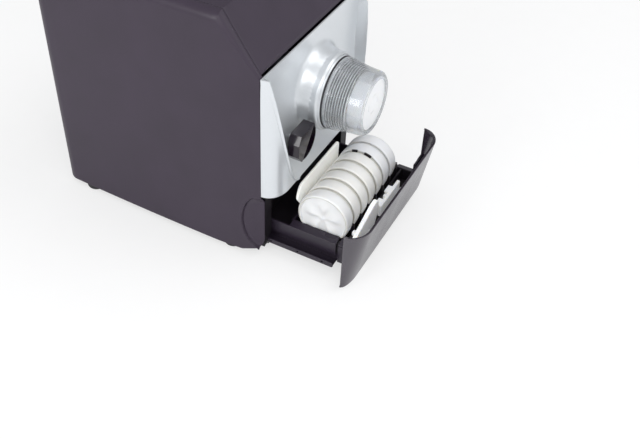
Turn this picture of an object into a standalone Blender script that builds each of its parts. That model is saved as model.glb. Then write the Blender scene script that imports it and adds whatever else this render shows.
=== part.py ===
# An electric pasta maker with its drawer pulled out. Metres, +Z up, the front facing -Y, +X to the right.
# Places along Y are counted back from the seam between the silver front panel and the dark side shells,
# places along Z up from the table. The holder "machine" then centres the whole on its own box.

import math

import bmesh
import bpy
from mathutils import Vector

# Fits shared by all pieces
gap = 0.0003
cut_over = 0.002
sink = 0.0005
weld_within = 0.00001
turn_merge = 0.00005
cutter_spin = math.radians(4)

# Dies, and the nozzle that holds one of them
die_radius = 0.030
die_thickness = 0.0156
die_space = 0.0028
die_clear = 0.0004
die_segments = 32
thread_out = 0.0018
collar_wall = 0.0082
collar_front = 0.0305
collar_back = 0.006
barrel_bore = 0.0215
barrel_wall = 0.0035
barrel_front = 0.0552
mouth_lip = 0.003
mouth_run = 0.006
flange_reach = 0.0072
flange_wall = 0.003
nut_wall = 0.0045
nut_lip_drop = 0.0027
nut_lip_reach = 0.0025
nut_lip_wall = 0.0021
nut_shoulder = 0.0035
nut_rim = 0.004
flare_spread = 0.017
flare_front = 0.028
flare_shares = ((0.735, 1.0), (0.75, 0.7), (0.8, 0.4), (0.91, 0.18), (1.0, 0.02))

# Selector
knob_side = 0.004
knob_drop = 0.0253
knob_clear = 0.0004
knob_depth = 0.0104
knob_radius = 0.0208
knob_rim_drop = 0.0026
knob_rim = 0.0018
knob_moat = 0.0055
knob_arc = (math.radians(52), math.radians(-132))
knob_arc_count = 12
knob_corner_shares = ((-0.9, -0.37), (-0.89, 0.46), (-0.76, 0.83))
knob_ridge_shares = ((-0.86, -0.35), (-0.86, 0.45), (-0.735, 0.8), (0.4, 0.77))
selector_rod_radius = 0.003
selector_rod_end = 0.020
bushing_radius = 0.0075
bushing_gap = 0.0012
switch_front = 0.008
switch_width = 0.030
switch_height = 0.026
switch_depth = 0.020

# Housing shells
cheek_room = 0.0448
belly_out = 0.005
belly = 0.060
side_taper = 0.0045
side_foot = 0.008
brow_height = 0.0092
hood_rise = 0.057
hood_run = 0.042
hood_lead = 0.0012
shell_wall = 0.0026
shell_rim = 0.0012
corner_clear = 0.0015
rear_room = 0.0190
rear_round = 0.016
top_round = 0.010
front_round_share = 0.32
side_station_shares = (0, 0.03, 0.06, 0.085, 0.1, 0.13, 0.25, 0.45, 0.7, 1)
side_row_shares = (0, 0.03, 0.08, 0.15, 0.23, 0.3, 0.345, 0.38, 0.55, 0.78, 1)

# Finger scoop at the foot of each side's front edge
scoop_height = 0.051
scoop_half = 0.038
scoop_run = 0.0244
scoop_depth = 0.008
scoop_step = 0.002
scoop_edge_share = 0.12

# Silver front panel
panel_lift = 0.0005
panel_top_gap = 0.0008
panel_bulge = 0.019
panel_corner = 0.024
panel_wall = 0.0025
crease_span = 0.0478
crease_share = 0.55
crease_lip = 0.0012
lip_run = 0.003
recess_depth = 0.020
recess_rise = 0.070
recess_low_run = 0.010
recess_end = 0.0018
crease_inset = 0.0016
crease_wall_share = 1.5
panel_step_shares = (0.35, 0.75, 1)
panel_flat_count = 2
panel_corner_count = 4
panel_row_count = 10

# Drawer: sizes of the tray and its front, placed where it stands when pulled out
drawer_gap = 0.0008
front_drop = 0.0108
front_base = 0.006
front_bulge_top = 0.021
front_bulge_base = 0.0078
front_wall = 0.0026
front_corner = 0.024
web_drop = 0.0117
boss_radius = 0.004
boss_x = 0.040
boss_rise = 0.008
tray_lead = 0.0064
tray_floor = 0.026
tray_floor_wall = 0.003
tray_edge_height = 0.0385
ridge_rise = 0.0045
ridge_set = 0.007
ridge_width = 0.0025
leg_set = 0.005
rail_sunk = 0.002
tray_front_wall = 0.0024
tool_bay = 0.015
tray_rear = 0.020
divider_wall = 0.002
divider_top = 0.040
rear_divider = 0.0179
rear_divider_wall = 0.002
rail_reach = 0.010
rail_base = 0.0126
rail_height = 0.006
rail_set = 0.023
post_width = 0.0022
post_reach = 0.007
post_top = 0.050

# Scraper plate and tools, stood in the drawer
plate_wall = 0.004
plate_half = 0.048
plate_set = 0.0025
plate_drop = 0.0055
plate_corner = 0.012
tool_wall = 0.005
tool_clear = 0.0025
tool_space = 0.009
key_set = 0.0015
key_length = 0.056
key_height = 0.034
comb_length = 0.052
comb_height = 0.032
key_shares = ((0, 0), (1, 0), (1, 0.7), (0.86, 1), (0.52, 1), (0.46, 0.72), (0.32, 0.72), (0.27, 1),
              (0.04, 1), (0, 0.7))
comb_shares = ((0, 0), (1, 0), (1, 1), (0.64, 1), (0.64, 0.72), (0.52, 0.72), (0.52, 0.94), (0.32, 0.94),
               (0.32, 0.6), (0.12, 0.6), (0.12, 0.84), (0, 0.84))

# Bay that the drawer runs in, with its runners
bay_set = 0.0095
bay_wall = 0.002
bay_front = 0.0015
bay_spare = 0.0104
bay_head = 0.0042
bay_lip = 0.0155
base_wall = 0.002
corner_slack = 0.0009
rail_room = 0.0063
rail_catch = 0.0055
runner_wall = 0.002
runner_clear = 0.0003

# Feet
foot_radius = 0.011
foot_set = 0.0148
foot_front = 0.041
foot_rear_set = 0.036
foot_share = 0.86

# Mixing bowl, lid and lid switch
bowl_side = 0.0448
bowl_rise = 0.0093
bowl_wall = 0.003
bowl_set = 0.008
bowl_length = 0.096
bowl_rim = 0.007
bowl_rim_wall = 0.0022
deck_clear = 0.0006
lid_wall = 0.0025
lid_margin = 0.0015
lid_skirt = 0.006
lid_skirt_inset = 0.0015
lid_handle_half = 0.016
lid_handle_reach = 0.007
slot_half = 0.024
slot_run = 0.006
slot_set = 0.025
hinge_set = 0.007
hinge_rise = 0.0068
hinge_pin_radius = 0.002
hinge_ear_half = 0.0045
hinge_x = 0.034
ear_width = 0.006
lug_width = 0.007
pin_clear = 0.0003
plunger_out = 0.009
plunger_set = 0.010
plunger_radius = 0.003
plunger_length = 0.018
plunger_travel = 0.002
tab_half = 0.005
lid_switch_size = 0.014
lid_switch_drop = 0.020

# Drive train
gear_module = 0.0015
gear_teeth = 40
pinion_teeth = 10
many_teeth = 30
gear_face = 0.008
gear_space = 0.002
pressure_angle = math.radians(25)
tooth_slack = 0.00025
tooth_tip_share = 0.92
tooth_root_share = 1.25
output_radius = 0.005
dog_radius = 0.0065
hub_radius = 0.012
hub_length = 0.004
hub_clear = 0.0012
layshaft_radius = 0.004
motor_rod_radius = 0.003
case_wall = 0.0025
case_side_clear = 0.00212
case_top_clear = 0.00232
case_end_clear = 0.001
case_skirt = 0.0078
case_leg_inner = 0.018
case_leg_outer = 0.030
first_gear_front = 0.0030
rotor_radius = 0.020
motor_radius = 0.039
motor_wall = 0.0017
motor_length = 0.052
motor_plate = 0.0027
stator_length = 0.036
bearing_radius = 0.008
bearing_width = 0.005
fan_radius = 0.033
fan_hub = 0.008
fan_width = 0.008
fan_gap = 0.004
fan_blades = 6
cradle_half = 0.022
cradle_width = 0.016

# Mixing paddle and screw
paddle_rod = 0.007
paddle_clear = 0.008
paddle_width = 0.010
paddle_thick = 0.006
paddle_count = 4
paddle_turn = math.radians(50)
auger_clear = 0.0012
auger_core = 0.0085
auger_turns = 3
auger_step = math.radians(36)
auger_points = 10
end_clear = 0.0006

# Electrical parts and the rear
board_side = 0.0438
board_half = 0.024
board_lag = 0.0006
board_length = 0.056
board_wall = 0.0016
board_rise = 0.004
coil_size = 0.022
capacitor_radius = 0.013
capacitor_length = 0.046
capacitor_side = 0.0468
capacitor_lead = 0.0034
cover_vent_count = 7
vent_half_width = 0.0017
vent_length = 0.050
vent_pitch = 0.012
vent_height = 0.130
inlet_side = 0.0528
inlet_height = 0.036
inlet_radius = 0.0070
inlet_bore = 0.0042
inlet_flange = 0.0105
inlet_flange_wall = 0.003
inlet_depth = 0.010

# Sizes and places worked out from those above: the nozzle from the die outwards
thread_radius = die_radius + thread_out
collar_radius = thread_radius + collar_wall
barrel_radius = barrel_bore + barrel_wall
barrel_mouth = die_radius - mouth_lip
flange_radius = thread_radius + flange_reach
nut_rear_radius = collar_radius
nut_front_radius = die_radius + nut_wall
nut_lip_radius = nut_front_radius - nut_lip_drop
nut_opening = die_radius - nut_lip_reach
flare_radius = collar_radius + flare_spread

# Widths, from the knob beside the nozzle out to the shells, and in again to the drawer
knob_x = -(flare_radius + knob_side)
knob_back = panel_bulge + knob_clear
seam_half = cheek_room - knob_x
body_half = seam_half + belly_out
crease_low = seam_half - crease_span
bay_half = seam_half - bay_set
rail_half = bay_half - rail_room
runner_inner = rail_half - rail_catch
tray_half = rail_half - rail_reach
bay_lip_half = tray_half
web_inner = tray_half + gap
tray_ridge_half = tray_half - ridge_set
tray_inner_half = tray_ridge_half - ridge_width
tray_leg_half = tray_half - leg_set
rail_root = tray_half - rail_sunk
die_pitch = die_thickness + die_space
stored_die_count = 1 + int((2 * (tray_inner_half - gap) - die_thickness) / die_pitch)
plate_x = plate_half + plate_set - tray_inner_half
key_left = key_set - tray_inner_half
comb_left = key_left + key_length + tool_space
foot_x = body_half - foot_set
board_x = body_half - board_side
capacitor_x = capacitor_side - body_half
inlet_x = inlet_side - body_half
bowl_radius = body_half - bowl_side
plunger_x = bowl_radius + bowl_wall + bowl_rim + plunger_out
paddle_reach = bowl_radius - paddle_clear
auger_radius = barrel_bore - auger_clear

# Heights, from the drawer up
base_top = side_foot + base_wall
rail_top = rail_base + rail_height
tray_ridge_height = tray_edge_height + ridge_rise
boss_height = tray_floor + boss_rise
die_centre_z = tray_floor + gap + die_radius
bay_top = die_centre_z + die_radius + bay_head
front_top = bay_top - front_drop
web_base = tray_floor - tray_floor_wall
web_top = front_top - web_drop
plate_top = bay_top - plate_drop
panel_base = bay_top + panel_lift
shaft_height = bay_top + bowl_rise + bowl_radius + bowl_wall
knob_height = shaft_height - knob_drop
seam_height = shaft_height + flare_radius + brow_height
deck_height = seam_height + hood_rise
rim_top = deck_height + gap + bowl_rim_wall
lid_under = rim_top + gap
hinge_z = deck_height + hinge_rise
gear_tip = gear_module * (gear_teeth / 2 + tooth_tip_share)
layshaft_height = shaft_height - gear_module * (gear_teeth + pinion_teeth) / 2
motor_height = layshaft_height - gear_module * (gear_teeth + pinion_teeth) / 2
case_half = gear_tip + case_side_clear + case_wall
case_top = shaft_height + gear_tip + case_top_clear + case_wall
case_low = motor_height - bearing_radius - case_skirt

# Lengths of the drawer, from its rear wall forwards
front_y = -gap
plate_front = rear_divider + rear_divider_wall + gap + plate_wall
die_axis_y = plate_front + die_clear + die_radius
divider_back = die_axis_y + die_radius + die_clear
divider_front = divider_back + divider_wall
tool_front = divider_front + tool_clear + tool_wall
tray_front = divider_front + tool_bay
rail_front = tray_front - rail_set
drawer_travel = tray_front - tray_lead
drawer_y = -(drawer_gap + drawer_travel)
bay_rear = tray_rear + drawer_travel + bay_spare

# Lengths of the bowl and the drive, back to the rear cover
bowl_front = hood_run + bowl_set
bowl_rear = bowl_front + bowl_length
slot_y = bowl_front + slot_set
plunger_y = bowl_front + plunger_set
hinge_y = bowl_rear + bowl_rim + hinge_set
case_front = bowl_rear + end_clear + hub_length + hub_clear
gear_step = gear_face + gear_space
case_depth = case_wall + first_gear_front + gear_step + gear_face + case_end_clear
case_back = case_front + case_depth
motor_front = case_back + case_wall + 2 * gap
motor_back = motor_front + motor_length
fan_front = motor_back + gap + motor_plate + fan_gap
body_depth = fan_front + fan_width + rear_room + shell_wall
foot_rear = body_depth - foot_rear_set
board_y = motor_front + board_lag
capacitor_y = motor_front - capacitor_lead
front_most = drawer_y - front_bulge_top
rear_most = body_depth + inlet_flange_wall
mid_y = (front_most + rear_most) / 2


def clamp(value):
    return max(0.0, min(1.0, value))


def arc_drop(share):
    return 1 - math.sqrt(1 - clamp(share) ** 2)


def clear_scene():
    for old in list(bpy.data.objects):
        bpy.data.objects.remove(old, do_unlink=True)


def new_collection(name):
    made = bpy.data.collections.new(name)
    bpy.context.scene.collection.children.link(made)
    return made


clear_scene()
parts = new_collection("electric_pasta_maker")
cutters = new_collection("cutters")
holders = {}
helpers = {}


def finish(name, colour, roughness, metallic=0.0, alpha=1.0):
    made = bpy.data.materials.new(name)
    made.use_nodes = True
    shader = made.node_tree.nodes["Principled BSDF"]
    shader.inputs["Base Color"].default_value = (*colour, 1)
    shader.inputs["Roughness"].default_value = roughness
    shader.inputs["Metallic"].default_value = metallic
    shader.inputs["Alpha"].default_value = alpha
    return made


plain_roughness = 0.45
dark_plastic = (0.060, 0.050, 0.062)
black_plastic = (0.012, 0.011, 0.014)
silver = (0.62, 0.65, 0.67)
ivory = (0.80, 0.78, 0.70)
white_plastic = (0.86, 0.86, 0.85)
steel = (0.55, 0.55, 0.56)
brass = (0.60, 0.42, 0.16)
rubber = (0.02, 0.02, 0.02)
smoke = (0.80, 0.84, 0.86)
green_board = (0.03, 0.16, 0.07)


def holder(name, place, parent=None):
    # A named axis that a moving group of pieces hangs from.
    made = bpy.data.objects.new(name + "_axis" if parent else name, None)
    made.empty_display_size = foot_radius
    parts.objects.link(made)
    base = Vector()
    if parent:
        made.parent = holders[parent][0]
        base = holders[parent][1]
    made.location = Vector(place) - base
    holders[name] = (made, Vector(place))
    return made


def hold(piece, name):
    # Parents a piece, with the shapes that cut or join it, to a holder without moving it.
    carrier, place = holders[name]
    for each in [piece, *helpers.get(piece.name, ())]:
        each.parent = carrier
        each.location = each.location - place
    return piece


def new_mesh_piece(name, mesh, colour=None, roughness=plain_roughness, metallic=0.0, alpha=1.0):
    piece = bpy.data.objects.new(name, mesh)
    parts.objects.link(piece)
    if colour:
        mesh.materials.append(finish(name, colour, roughness, metallic, alpha))
    return piece


def smooth(piece, degrees=35):
    piece.data.shade_smooth()
    piece.data.set_sharp_from_angle(angle=math.radians(degrees))


def box(name, low, high, **look):
    mesh = bpy.data.meshes.new(name)
    shape = bmesh.new()
    bmesh.ops.create_cube(shape, size=1)
    spans = [b - a for a, b in zip(low, high)]
    bmesh.ops.scale(shape, vec=spans, verts=shape.verts)
    shape.to_mesh(mesh)
    shape.free()
    piece = new_mesh_piece(name, mesh, **look)
    piece.location = [(a + b) / 2 for a, b in zip(low, high)]
    return piece


def rounded(piece, width, segments=2):
    edge = piece.modifiers.new("edges", "BEVEL")
    edge.width = width
    edge.segments = segments
    edge.limit_method = "ANGLE"
    return piece


def turned(name, profile, place, forward=True, steps=28, **look):
    # A profile of (radius, height) pairs, down its outer side, spun about the piece's own Z.
    mesh = bpy.data.meshes.new(name)
    points = [(r, 0, h) for r, h in profile]
    count = len(points)
    solid = profile[0][0] == 0 and profile[-1][0] == 0
    links = [(i, i + 1) for i in range(count - 1)]
    if not solid:
        links.append((count - 1, 0))
    mesh.from_pydata(points, links, [])
    piece = new_mesh_piece(name, mesh, **look)
    spin = piece.modifiers.new("turn", "SCREW")
    spin.steps = steps
    spin.render_steps = steps
    spin.use_merge_vertices = True
    spin.merge_threshold = turn_merge
    spin.use_smooth_shade = True
    piece.location = place
    if forward:
        piece.rotation_euler = (math.pi / 2, 0, 0)
    return piece


def rod(name, radius, front, back, x, z, steps=16, spin=0.0, **look):
    # A plain round bar along Y, its length given as places behind the seam.
    half = (back - front) / 2
    profile = [(0, half), (radius, half), (radius, -half), (0, -half)]
    made = turned(name, profile, (x, (front + back) / 2, z), steps=steps, **look)
    made.rotation_euler.y = spin
    return made


def ring(name, outer, inner, front, back, x, z, steps=28, **look):
    half = (back - front) / 2
    profile = [(outer, half), (outer, -half), (inner, -half), (inner, half)]
    return turned(name, profile, (x, (front + back) / 2, z), steps=steps, **look)


def outline(name, loops, thickness, place, plane="XZ", **look):
    # A flat shape, its first loop the rim and the rest holes, thickened evenly to both sides of its plane.
    curve = bpy.data.curves.new(name, "CURVE")
    curve.dimensions = "2D"
    curve.fill_mode = "BOTH"
    curve.extrude = thickness / 2
    for loop in loops:
        spline = curve.splines.new("POLY")
        spline.points.add(len(loop) - 1)
        for point, (u, v) in zip(spline.points, loop):
            point.co = (u, v, 0, 1)
        spline.use_cyclic_u = True
    piece = bpy.data.objects.new(name, curve)
    parts.objects.link(piece)
    turns = {"XZ": (math.pi / 2, 0, 0), "YZ": (math.pi / 2, 0, math.pi / 2), "XY": (0, 0, 0)}
    piece.rotation_euler = turns[plane]
    piece.location = place
    if "colour" in look:
        curve.materials.append(finish(name, **{"roughness": plain_roughness, **look}))
    return piece


def as_mesh(piece):
    # A curve takes no cut, so its shape is taken over by a mesh with its caps welded on.
    bpy.context.view_layer.update()
    graph = bpy.context.evaluated_depsgraph_get()
    mesh = bpy.data.meshes.new_from_object(piece.evaluated_get(graph))
    shape = bmesh.new()
    shape.from_mesh(mesh)
    bmesh.ops.remove_doubles(shape, verts=shape.verts, dist=weld_within)
    shape.to_mesh(mesh)
    shape.free()
    name = piece.name
    made = bpy.data.objects.new(name + "_mesh", mesh)
    parts.objects.link(made)
    made.matrix_world = piece.matrix_world.copy()
    bpy.data.objects.remove(piece, do_unlink=True)
    made.name = name
    return made


def shape_with(piece, tool, operation):
    step = piece.modifiers.new(tool.name, "BOOLEAN")
    step.operation = operation
    step.solver = "EXACT"
    step.object = tool
    parts.objects.unlink(tool)
    cutters.objects.link(tool)
    tool.hide_render = True
    tool.display_type = "WIRE"
    helpers.setdefault(piece.name, []).append(tool)
    return piece


def cut(piece, *tools):
    for tool in tools:
        shape_with(piece, tool, "DIFFERENCE")
    return piece


def fuse(piece, *tools):
    for tool in tools:
        shape_with(piece, tool, "UNION")
    return piece


def cross_rod(name, radius, half, y, z, **look):
    # A plain round bar along X, centred on the mid-plane.
    profile = [(0, half), (radius, half), (radius, -half), (0, -half)]
    made = turned(name, profile, (0, y, z), forward=False, steps=16, **look)
    made.rotation_euler = (0, math.pi / 2, 0)
    return made


def post(name, radius, low, high, x, y, **look):
    # A plain round bar that stands up, its ends given as heights.
    profile = [(0, high), (radius, high), (radius, low), (0, low)]
    return turned(name, profile, (x, y, 0), forward=False, steps=16, **look)


def circle(radius, centre=(0, 0), count=16, start=0.0):
    turn = 2 * math.pi / count
    return [
        (centre[0] + radius * math.cos(start + turn * i), centre[1] + radius * math.sin(start + turn * i))
        for i in range(count)
    ]


def rectangle(x0, x1, y0, y1):
    return [(x0, y0), (x1, y0), (x1, y1), (x0, y1)]


def round_rectangle(x0, x1, y0, y1, radius, count=4):
    points = []
    corners = ((x1 - radius, y0 + radius, -1), (x1 - radius, y1 - radius, 0),
               (x0 + radius, y1 - radius, 1), (x0 + radius, y0 + radius, 2))
    for cx, cy, quarter in corners:
        for i in range(count + 1):
            angle = math.pi / 2 * (quarter + i / count)
            points.append((cx + radius * math.cos(angle), cy + radius * math.sin(angle)))
    return points


def mirrored(half):
    # Closes an outline from its right half, listed from the middle out and back to the middle.
    left = [(-x, z) for x, z in reversed(half) if x > 0]
    return half + left


def sheet(name, rows, wall, flip=False, skip=(), **look):
    # An open surface through rows of points, thickened inward from the side that its faces look to.
    mesh = bpy.data.meshes.new(name)
    width = len(rows[0])
    points = [point for row in rows for point in row]
    faces = []
    for i in range(len(rows) - 1):
        for j in range(width - 1):
            if (i, j) in skip:
                continue
            face = (i * width + j, i * width + j + 1, (i + 1) * width + j + 1, (i + 1) * width + j)
            faces.append(face[::-1] if flip else face)
    mesh.from_pydata(points, [], faces)
    shape = bmesh.new()
    shape.from_mesh(mesh)
    bmesh.ops.remove_doubles(shape, verts=shape.verts, dist=weld_within)
    loose = [v for v in shape.verts if not v.link_faces]
    bmesh.ops.delete(shape, geom=loose, context="VERTS")
    shape.to_mesh(mesh)
    shape.free()
    piece = new_mesh_piece(name, mesh, **look)
    skin = piece.modifiers.new("wall", "SOLIDIFY")
    skin.thickness = wall
    skin.offset = -1
    skin.use_quality_normals = True
    smooth(piece)
    return piece


# Housing

def edge_round(y):
    return top_round * (front_round_share + (1 - front_round_share) * clamp(y / hood_run))


def side_top(y):
    rise = (deck_height - seam_height) * clamp(y / hood_run)
    drop = top_round * arc_drop((y - body_depth + top_round) / top_round)
    return seam_height + rise - drop


def side_x(y, z):
    # Half width of the shell: fullest at its belly, drawn in at both ends, along the top and in the scoop.
    ahead = clamp(1 - y / belly)
    behind = clamp((y - belly) / (body_depth - belly))
    x = body_half - (body_half - seam_half) * ahead**2 - side_taper * behind**2
    x -= rear_round * arc_drop((y - body_depth + rear_round) / rear_round)
    x -= edge_round(y) * arc_drop((z - side_top(y) + edge_round(y)) / edge_round(y))
    reach = math.hypot(y / scoop_run, (z - scoop_height) / scoop_half)
    if reach < 1:
        step = scoop_step * min(1, (1 - reach) / scoop_edge_share)
        x -= step + (scoop_depth - scoop_step) * (1 - reach)
    return x


def side_stations():
    flat = body_depth - rear_round
    stations = [flat * share for share in side_station_shares] + [hood_run]
    stations += [flat + rear_round * math.sin(math.pi / 2 * i / 4) for i in range(1, 5)]
    return sorted(stations)


def side_rows(y):
    flat = side_top(y) - edge_round(y)
    rows = [side_foot + (flat - side_foot) * share for share in side_row_shares]
    return rows + [flat + edge_round(y) * math.sin(math.pi / 2 * i / 3) for i in range(1, 4)]


def make_side(name, sign):
    # A narrow flat rim along the top and down the rear ends the shell square to its neighbours.
    rows = []
    for y in side_stations():
        top = side_top(y)
        row = [(sign * side_x(y, z), y, z) for z in side_rows(y)]
        row.append((sign * (side_x(y, top) - shell_rim), y, top))
        rows.append(row)
    last = rows[-1]
    rows.append([(x - sign * shell_rim, y, z) for x, y, z in last[:-1]] + last[-1:])
    corner = {(len(rows) - 2, len(last) - 2)}
    shell = sheet(name, rows, shell_wall, flip=sign > 0, skip=corner, colour=dark_plastic)
    return hold(shell, "machine")


def crease_x(z):
    share = clamp((z - panel_base) / (seam_height - panel_base))
    return crease_low + (seam_half - crease_inset - crease_low) * share**crease_share


def recess_run(z):
    share = clamp((z - panel_base) / (seam_height - panel_base))
    return recess_low_run * (1 - share) + recess_end


def panel_y(x, z, inset=0.0):
    # Cheeks round the corners, and between the two creases the face falls back towards the top.
    corner = panel_corner - inset
    round_share = clamp((abs(x) - seam_half + panel_corner) / corner)
    base = front_y - (panel_bulge - inset) * math.sqrt(1 - round_share**2)
    inside = crease_x(z) + inset * crease_wall_share - abs(x)
    if inside <= 0:
        return base
    recess = recess_depth * (1 - math.exp((panel_base - z) / recess_rise))
    floor = max(base, front_y - panel_bulge + recess + inset)
    blend = clamp(inside / recess_run(z))
    blend = blend * blend * (3 - 2 * blend)
    lip = 0 if inset else crease_lip * math.exp(-((inside / lip_run) ** 2))
    return base + (floor - base) * blend - lip


def panel_columns(z, inset=0.0):
    # The columns follow the crease, so that its edge runs true up the panel.
    half = seam_half - inset
    flat = seam_half - panel_corner
    crease = min(crease_x(z) + inset * crease_wall_share, half - crease_inset / 2)
    inner = crease - recess_run(z)
    right = [inner * i / panel_flat_count for i in range(1, panel_flat_count + 1)]
    right += [inner + (crease - inner) * share for share in panel_step_shares]
    start = math.asin((crease - flat) / (half - flat)) if crease > flat else (crease - flat) / (half - flat)
    for i in range(1, panel_corner_count + 1):
        turn = start + (math.pi / 2 - start) * i / panel_corner_count
        right.append(flat + (half - flat) * (math.sin(turn) if turn > 0 else turn))
    return [-x for x in reversed(right)] + [0] + right


def skin(name, outer, inner, **look):
    # A closed wall between two grids of points that share their layout, the outer one facing out.
    count = len(outer)
    width = len(outer[0])
    points = [point for rows in (outer, inner) for row in rows for point in row]
    behind = count * width
    faces = []
    for i in range(count - 1):
        for j in range(width - 1):
            face = (i * width + j, i * width + j + 1, (i + 1) * width + j + 1, (i + 1) * width + j)
            faces.append(face)
            faces.append(tuple(behind + index for index in reversed(face)))
    rim = [j for j in range(width)]
    rim += [i * width + width - 1 for i in range(1, count)]
    rim += [(count - 1) * width + j for j in range(width - 2, -1, -1)]
    rim += [i * width for i in range(count - 2, 0, -1)]
    for near, far in zip(rim, rim[1:] + rim[:1]):
        faces.append((far, near, behind + near, behind + far))
    mesh = bpy.data.meshes.new(name)
    mesh.from_pydata(points, [], faces)
    piece = new_mesh_piece(name, mesh, **look)
    smooth(piece)
    return piece


def make_front_panel():
    top = seam_height - panel_top_gap
    heights = [panel_base + (top - panel_base) * i / panel_row_count for i in range(panel_row_count + 1)]
    outer = [[(x, panel_y(x, z), z) for x in panel_columns(z)] for z in heights]
    inner = [[(x, panel_y(x, z, panel_wall), z) for x in panel_columns(z, panel_wall)] for z in heights]
    for row in inner:
        row[0] = (row[0][0], front_y, row[0][2])
        row[-1] = (row[-1][0], front_y, row[-1][2])
    panel = skin("front_panel", outer, inner, colour=silver, roughness=0.32, metallic=0.6)
    profile = [(0, flare_front)]
    profile += [(flare_radius * r, flare_front * h) for r, h in flare_shares]
    profile += [(flare_radius, -gap), (0, -gap)]
    flare = turned("panel_flare", profile, (0, 0, shaft_height))
    flare.rotation_euler.y = cutter_spin
    reach = flare_front + cut_over
    cut(panel, rod("knob_hole", selector_rod_radius + gap, -reach, collar_back, knob_x, knob_height,
                   spin=cutter_spin))
    fuse(panel, flare)
    cut(panel, rod("collar_hole", collar_radius + gap, -reach, collar_back, 0, shaft_height, steps=32,
                   spin=cutter_spin))
    return hold(panel, "machine")


def make_hood():
    stations = [hood_lead, hood_run / 2, hood_run]
    opening_front = bowl_front - deck_clear
    opening_rear = bowl_rear + deck_clear
    opening_half = bowl_radius + bowl_wall + deck_clear
    stations += [opening_front, (opening_front + opening_rear) / 2, opening_rear]
    stations += [y for y in side_stations() if y > opening_rear]
    rows = []
    for y in stations:
        top = side_top(y)
        rear_share = clamp((y - body_depth + rear_round) / rear_round)
        half = side_x(y, top) - shell_rim - gap - corner_clear * rear_share
        columns = (-half, -opening_half, 0, opening_half, half)
        rows.append([(x, y, top) for x in columns])
    skip = {(i, j) for i in (3, 4) for j in (1, 2)}
    hood = sheet("top_hood", rows, shell_wall, skip=skip, colour=dark_plastic, roughness=0.4)
    ear_side = hinge_pin_radius + hinge_ear_half
    for i, sign in enumerate((-1, 1)):
        near = sign * hinge_x
        far = sign * (hinge_x + ear_width)
        low = (min(near, far), hinge_y - hinge_ear_half, deck_height - sink)
        high = (max(near, far), hinge_y + hinge_ear_half, hinge_z + ear_side - hinge_pin_radius)
        fuse(hood, box(f"hood_ear_{i}", low, high))
    reach = hinge_x + ear_width + cut_over
    cut(hood, cross_rod("hood_ear_bore", hinge_pin_radius + gap, reach, hinge_y, hinge_z))
    low = deck_height - shell_wall - cut_over
    high = deck_height + cut_over
    cut(hood, post("hood_plunger_hole", plunger_radius + gap, low, high, plunger_x, plunger_y))
    return hold(hood, "machine")


def make_rear_cover():
    rows = [side_foot + gap]
    flat = side_top(body_depth) - top_round
    rows += [flat + top_round * math.sin(math.pi / 2 * i / 3) for i in range(3)]
    right = [(side_x(body_depth, z) - shell_rim - gap, z) for z in rows]
    rim = right + [(-x, z) for x, z in reversed(right)]
    loops = [rim, circle(inlet_radius + gap, (inlet_x, inlet_height), 20)]
    first = -vent_pitch * (cover_vent_count - 1) / 2
    for i in range(cover_vent_count):
        middle = first + vent_pitch * i
        low = vent_height - vent_length / 2
        loops.append(rectangle(middle - vent_half_width, middle + vent_half_width, low, low + vent_length))
    place = (0, body_depth - shell_wall / 2, 0)
    return hold(outline("rear_cover", loops, shell_wall, place, colour=dark_plastic), "machine")


def make_base():
    end = body_depth - rear_round
    stations = [bay_front] + [end * share for share in side_station_shares if end * share > bay_front]
    right = [(side_x(y, side_foot) - shell_wall - 2 * gap, y) for y in stations]
    centre = side_x(body_depth, side_foot)
    reach = rear_round - shell_wall - corner_slack
    for i in range(4):
        turn = math.pi / 2 * i / 3
        right.append((centre + reach * math.cos(turn), end + reach * math.sin(turn)))
    rim = right + [(-x, y) for x, y in reversed(right)]
    middle = side_foot + base_wall / 2
    flat = outline("base_plate", [rim], base_wall, (0, 0, middle), plane="XY", colour=black_plastic)
    base = as_mesh(flat)
    cradle_y = (motor_front + motor_back) / 2
    top = motor_height - motor_radius - gap
    saddle = box("base_saddle", (-cradle_half, cradle_y - cradle_width / 2, base_top - sink),
                 (cradle_half, cradle_y + cradle_width / 2, top))
    fuse(base, saddle)
    for i, sx in enumerate((-1, 1)):
        for j, sy in enumerate((0, 1)):
            x = board_x + sx * (board_half - boss_radius)
            y = board_y + boss_radius + sy * (board_length - 2 * boss_radius)
            low = (x - boss_radius / 2, y - boss_radius / 2, base_top - sink)
            high = (x + boss_radius / 2, y + boss_radius / 2, base_top + board_rise)
            fuse(base, box(f"base_post_{i}{j}", low, high))
    return hold(base, "machine")


def make_feet():
    height = side_foot - gap
    for side, x in (("left", -foot_x), ("right", foot_x)):
        for end, y in (("front", foot_front), ("rear", foot_rear)):
            profile = [(0, height), (foot_radius, height), (foot_radius, height / 3),
                       (foot_radius * foot_share, 0), (0, 0)]
            foot = turned(f"foot_{end}_{side}", profile, (x, y, 0), forward=False, steps=16,
                          colour=rubber, roughness=0.9)
            hold(foot, "machine")


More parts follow.
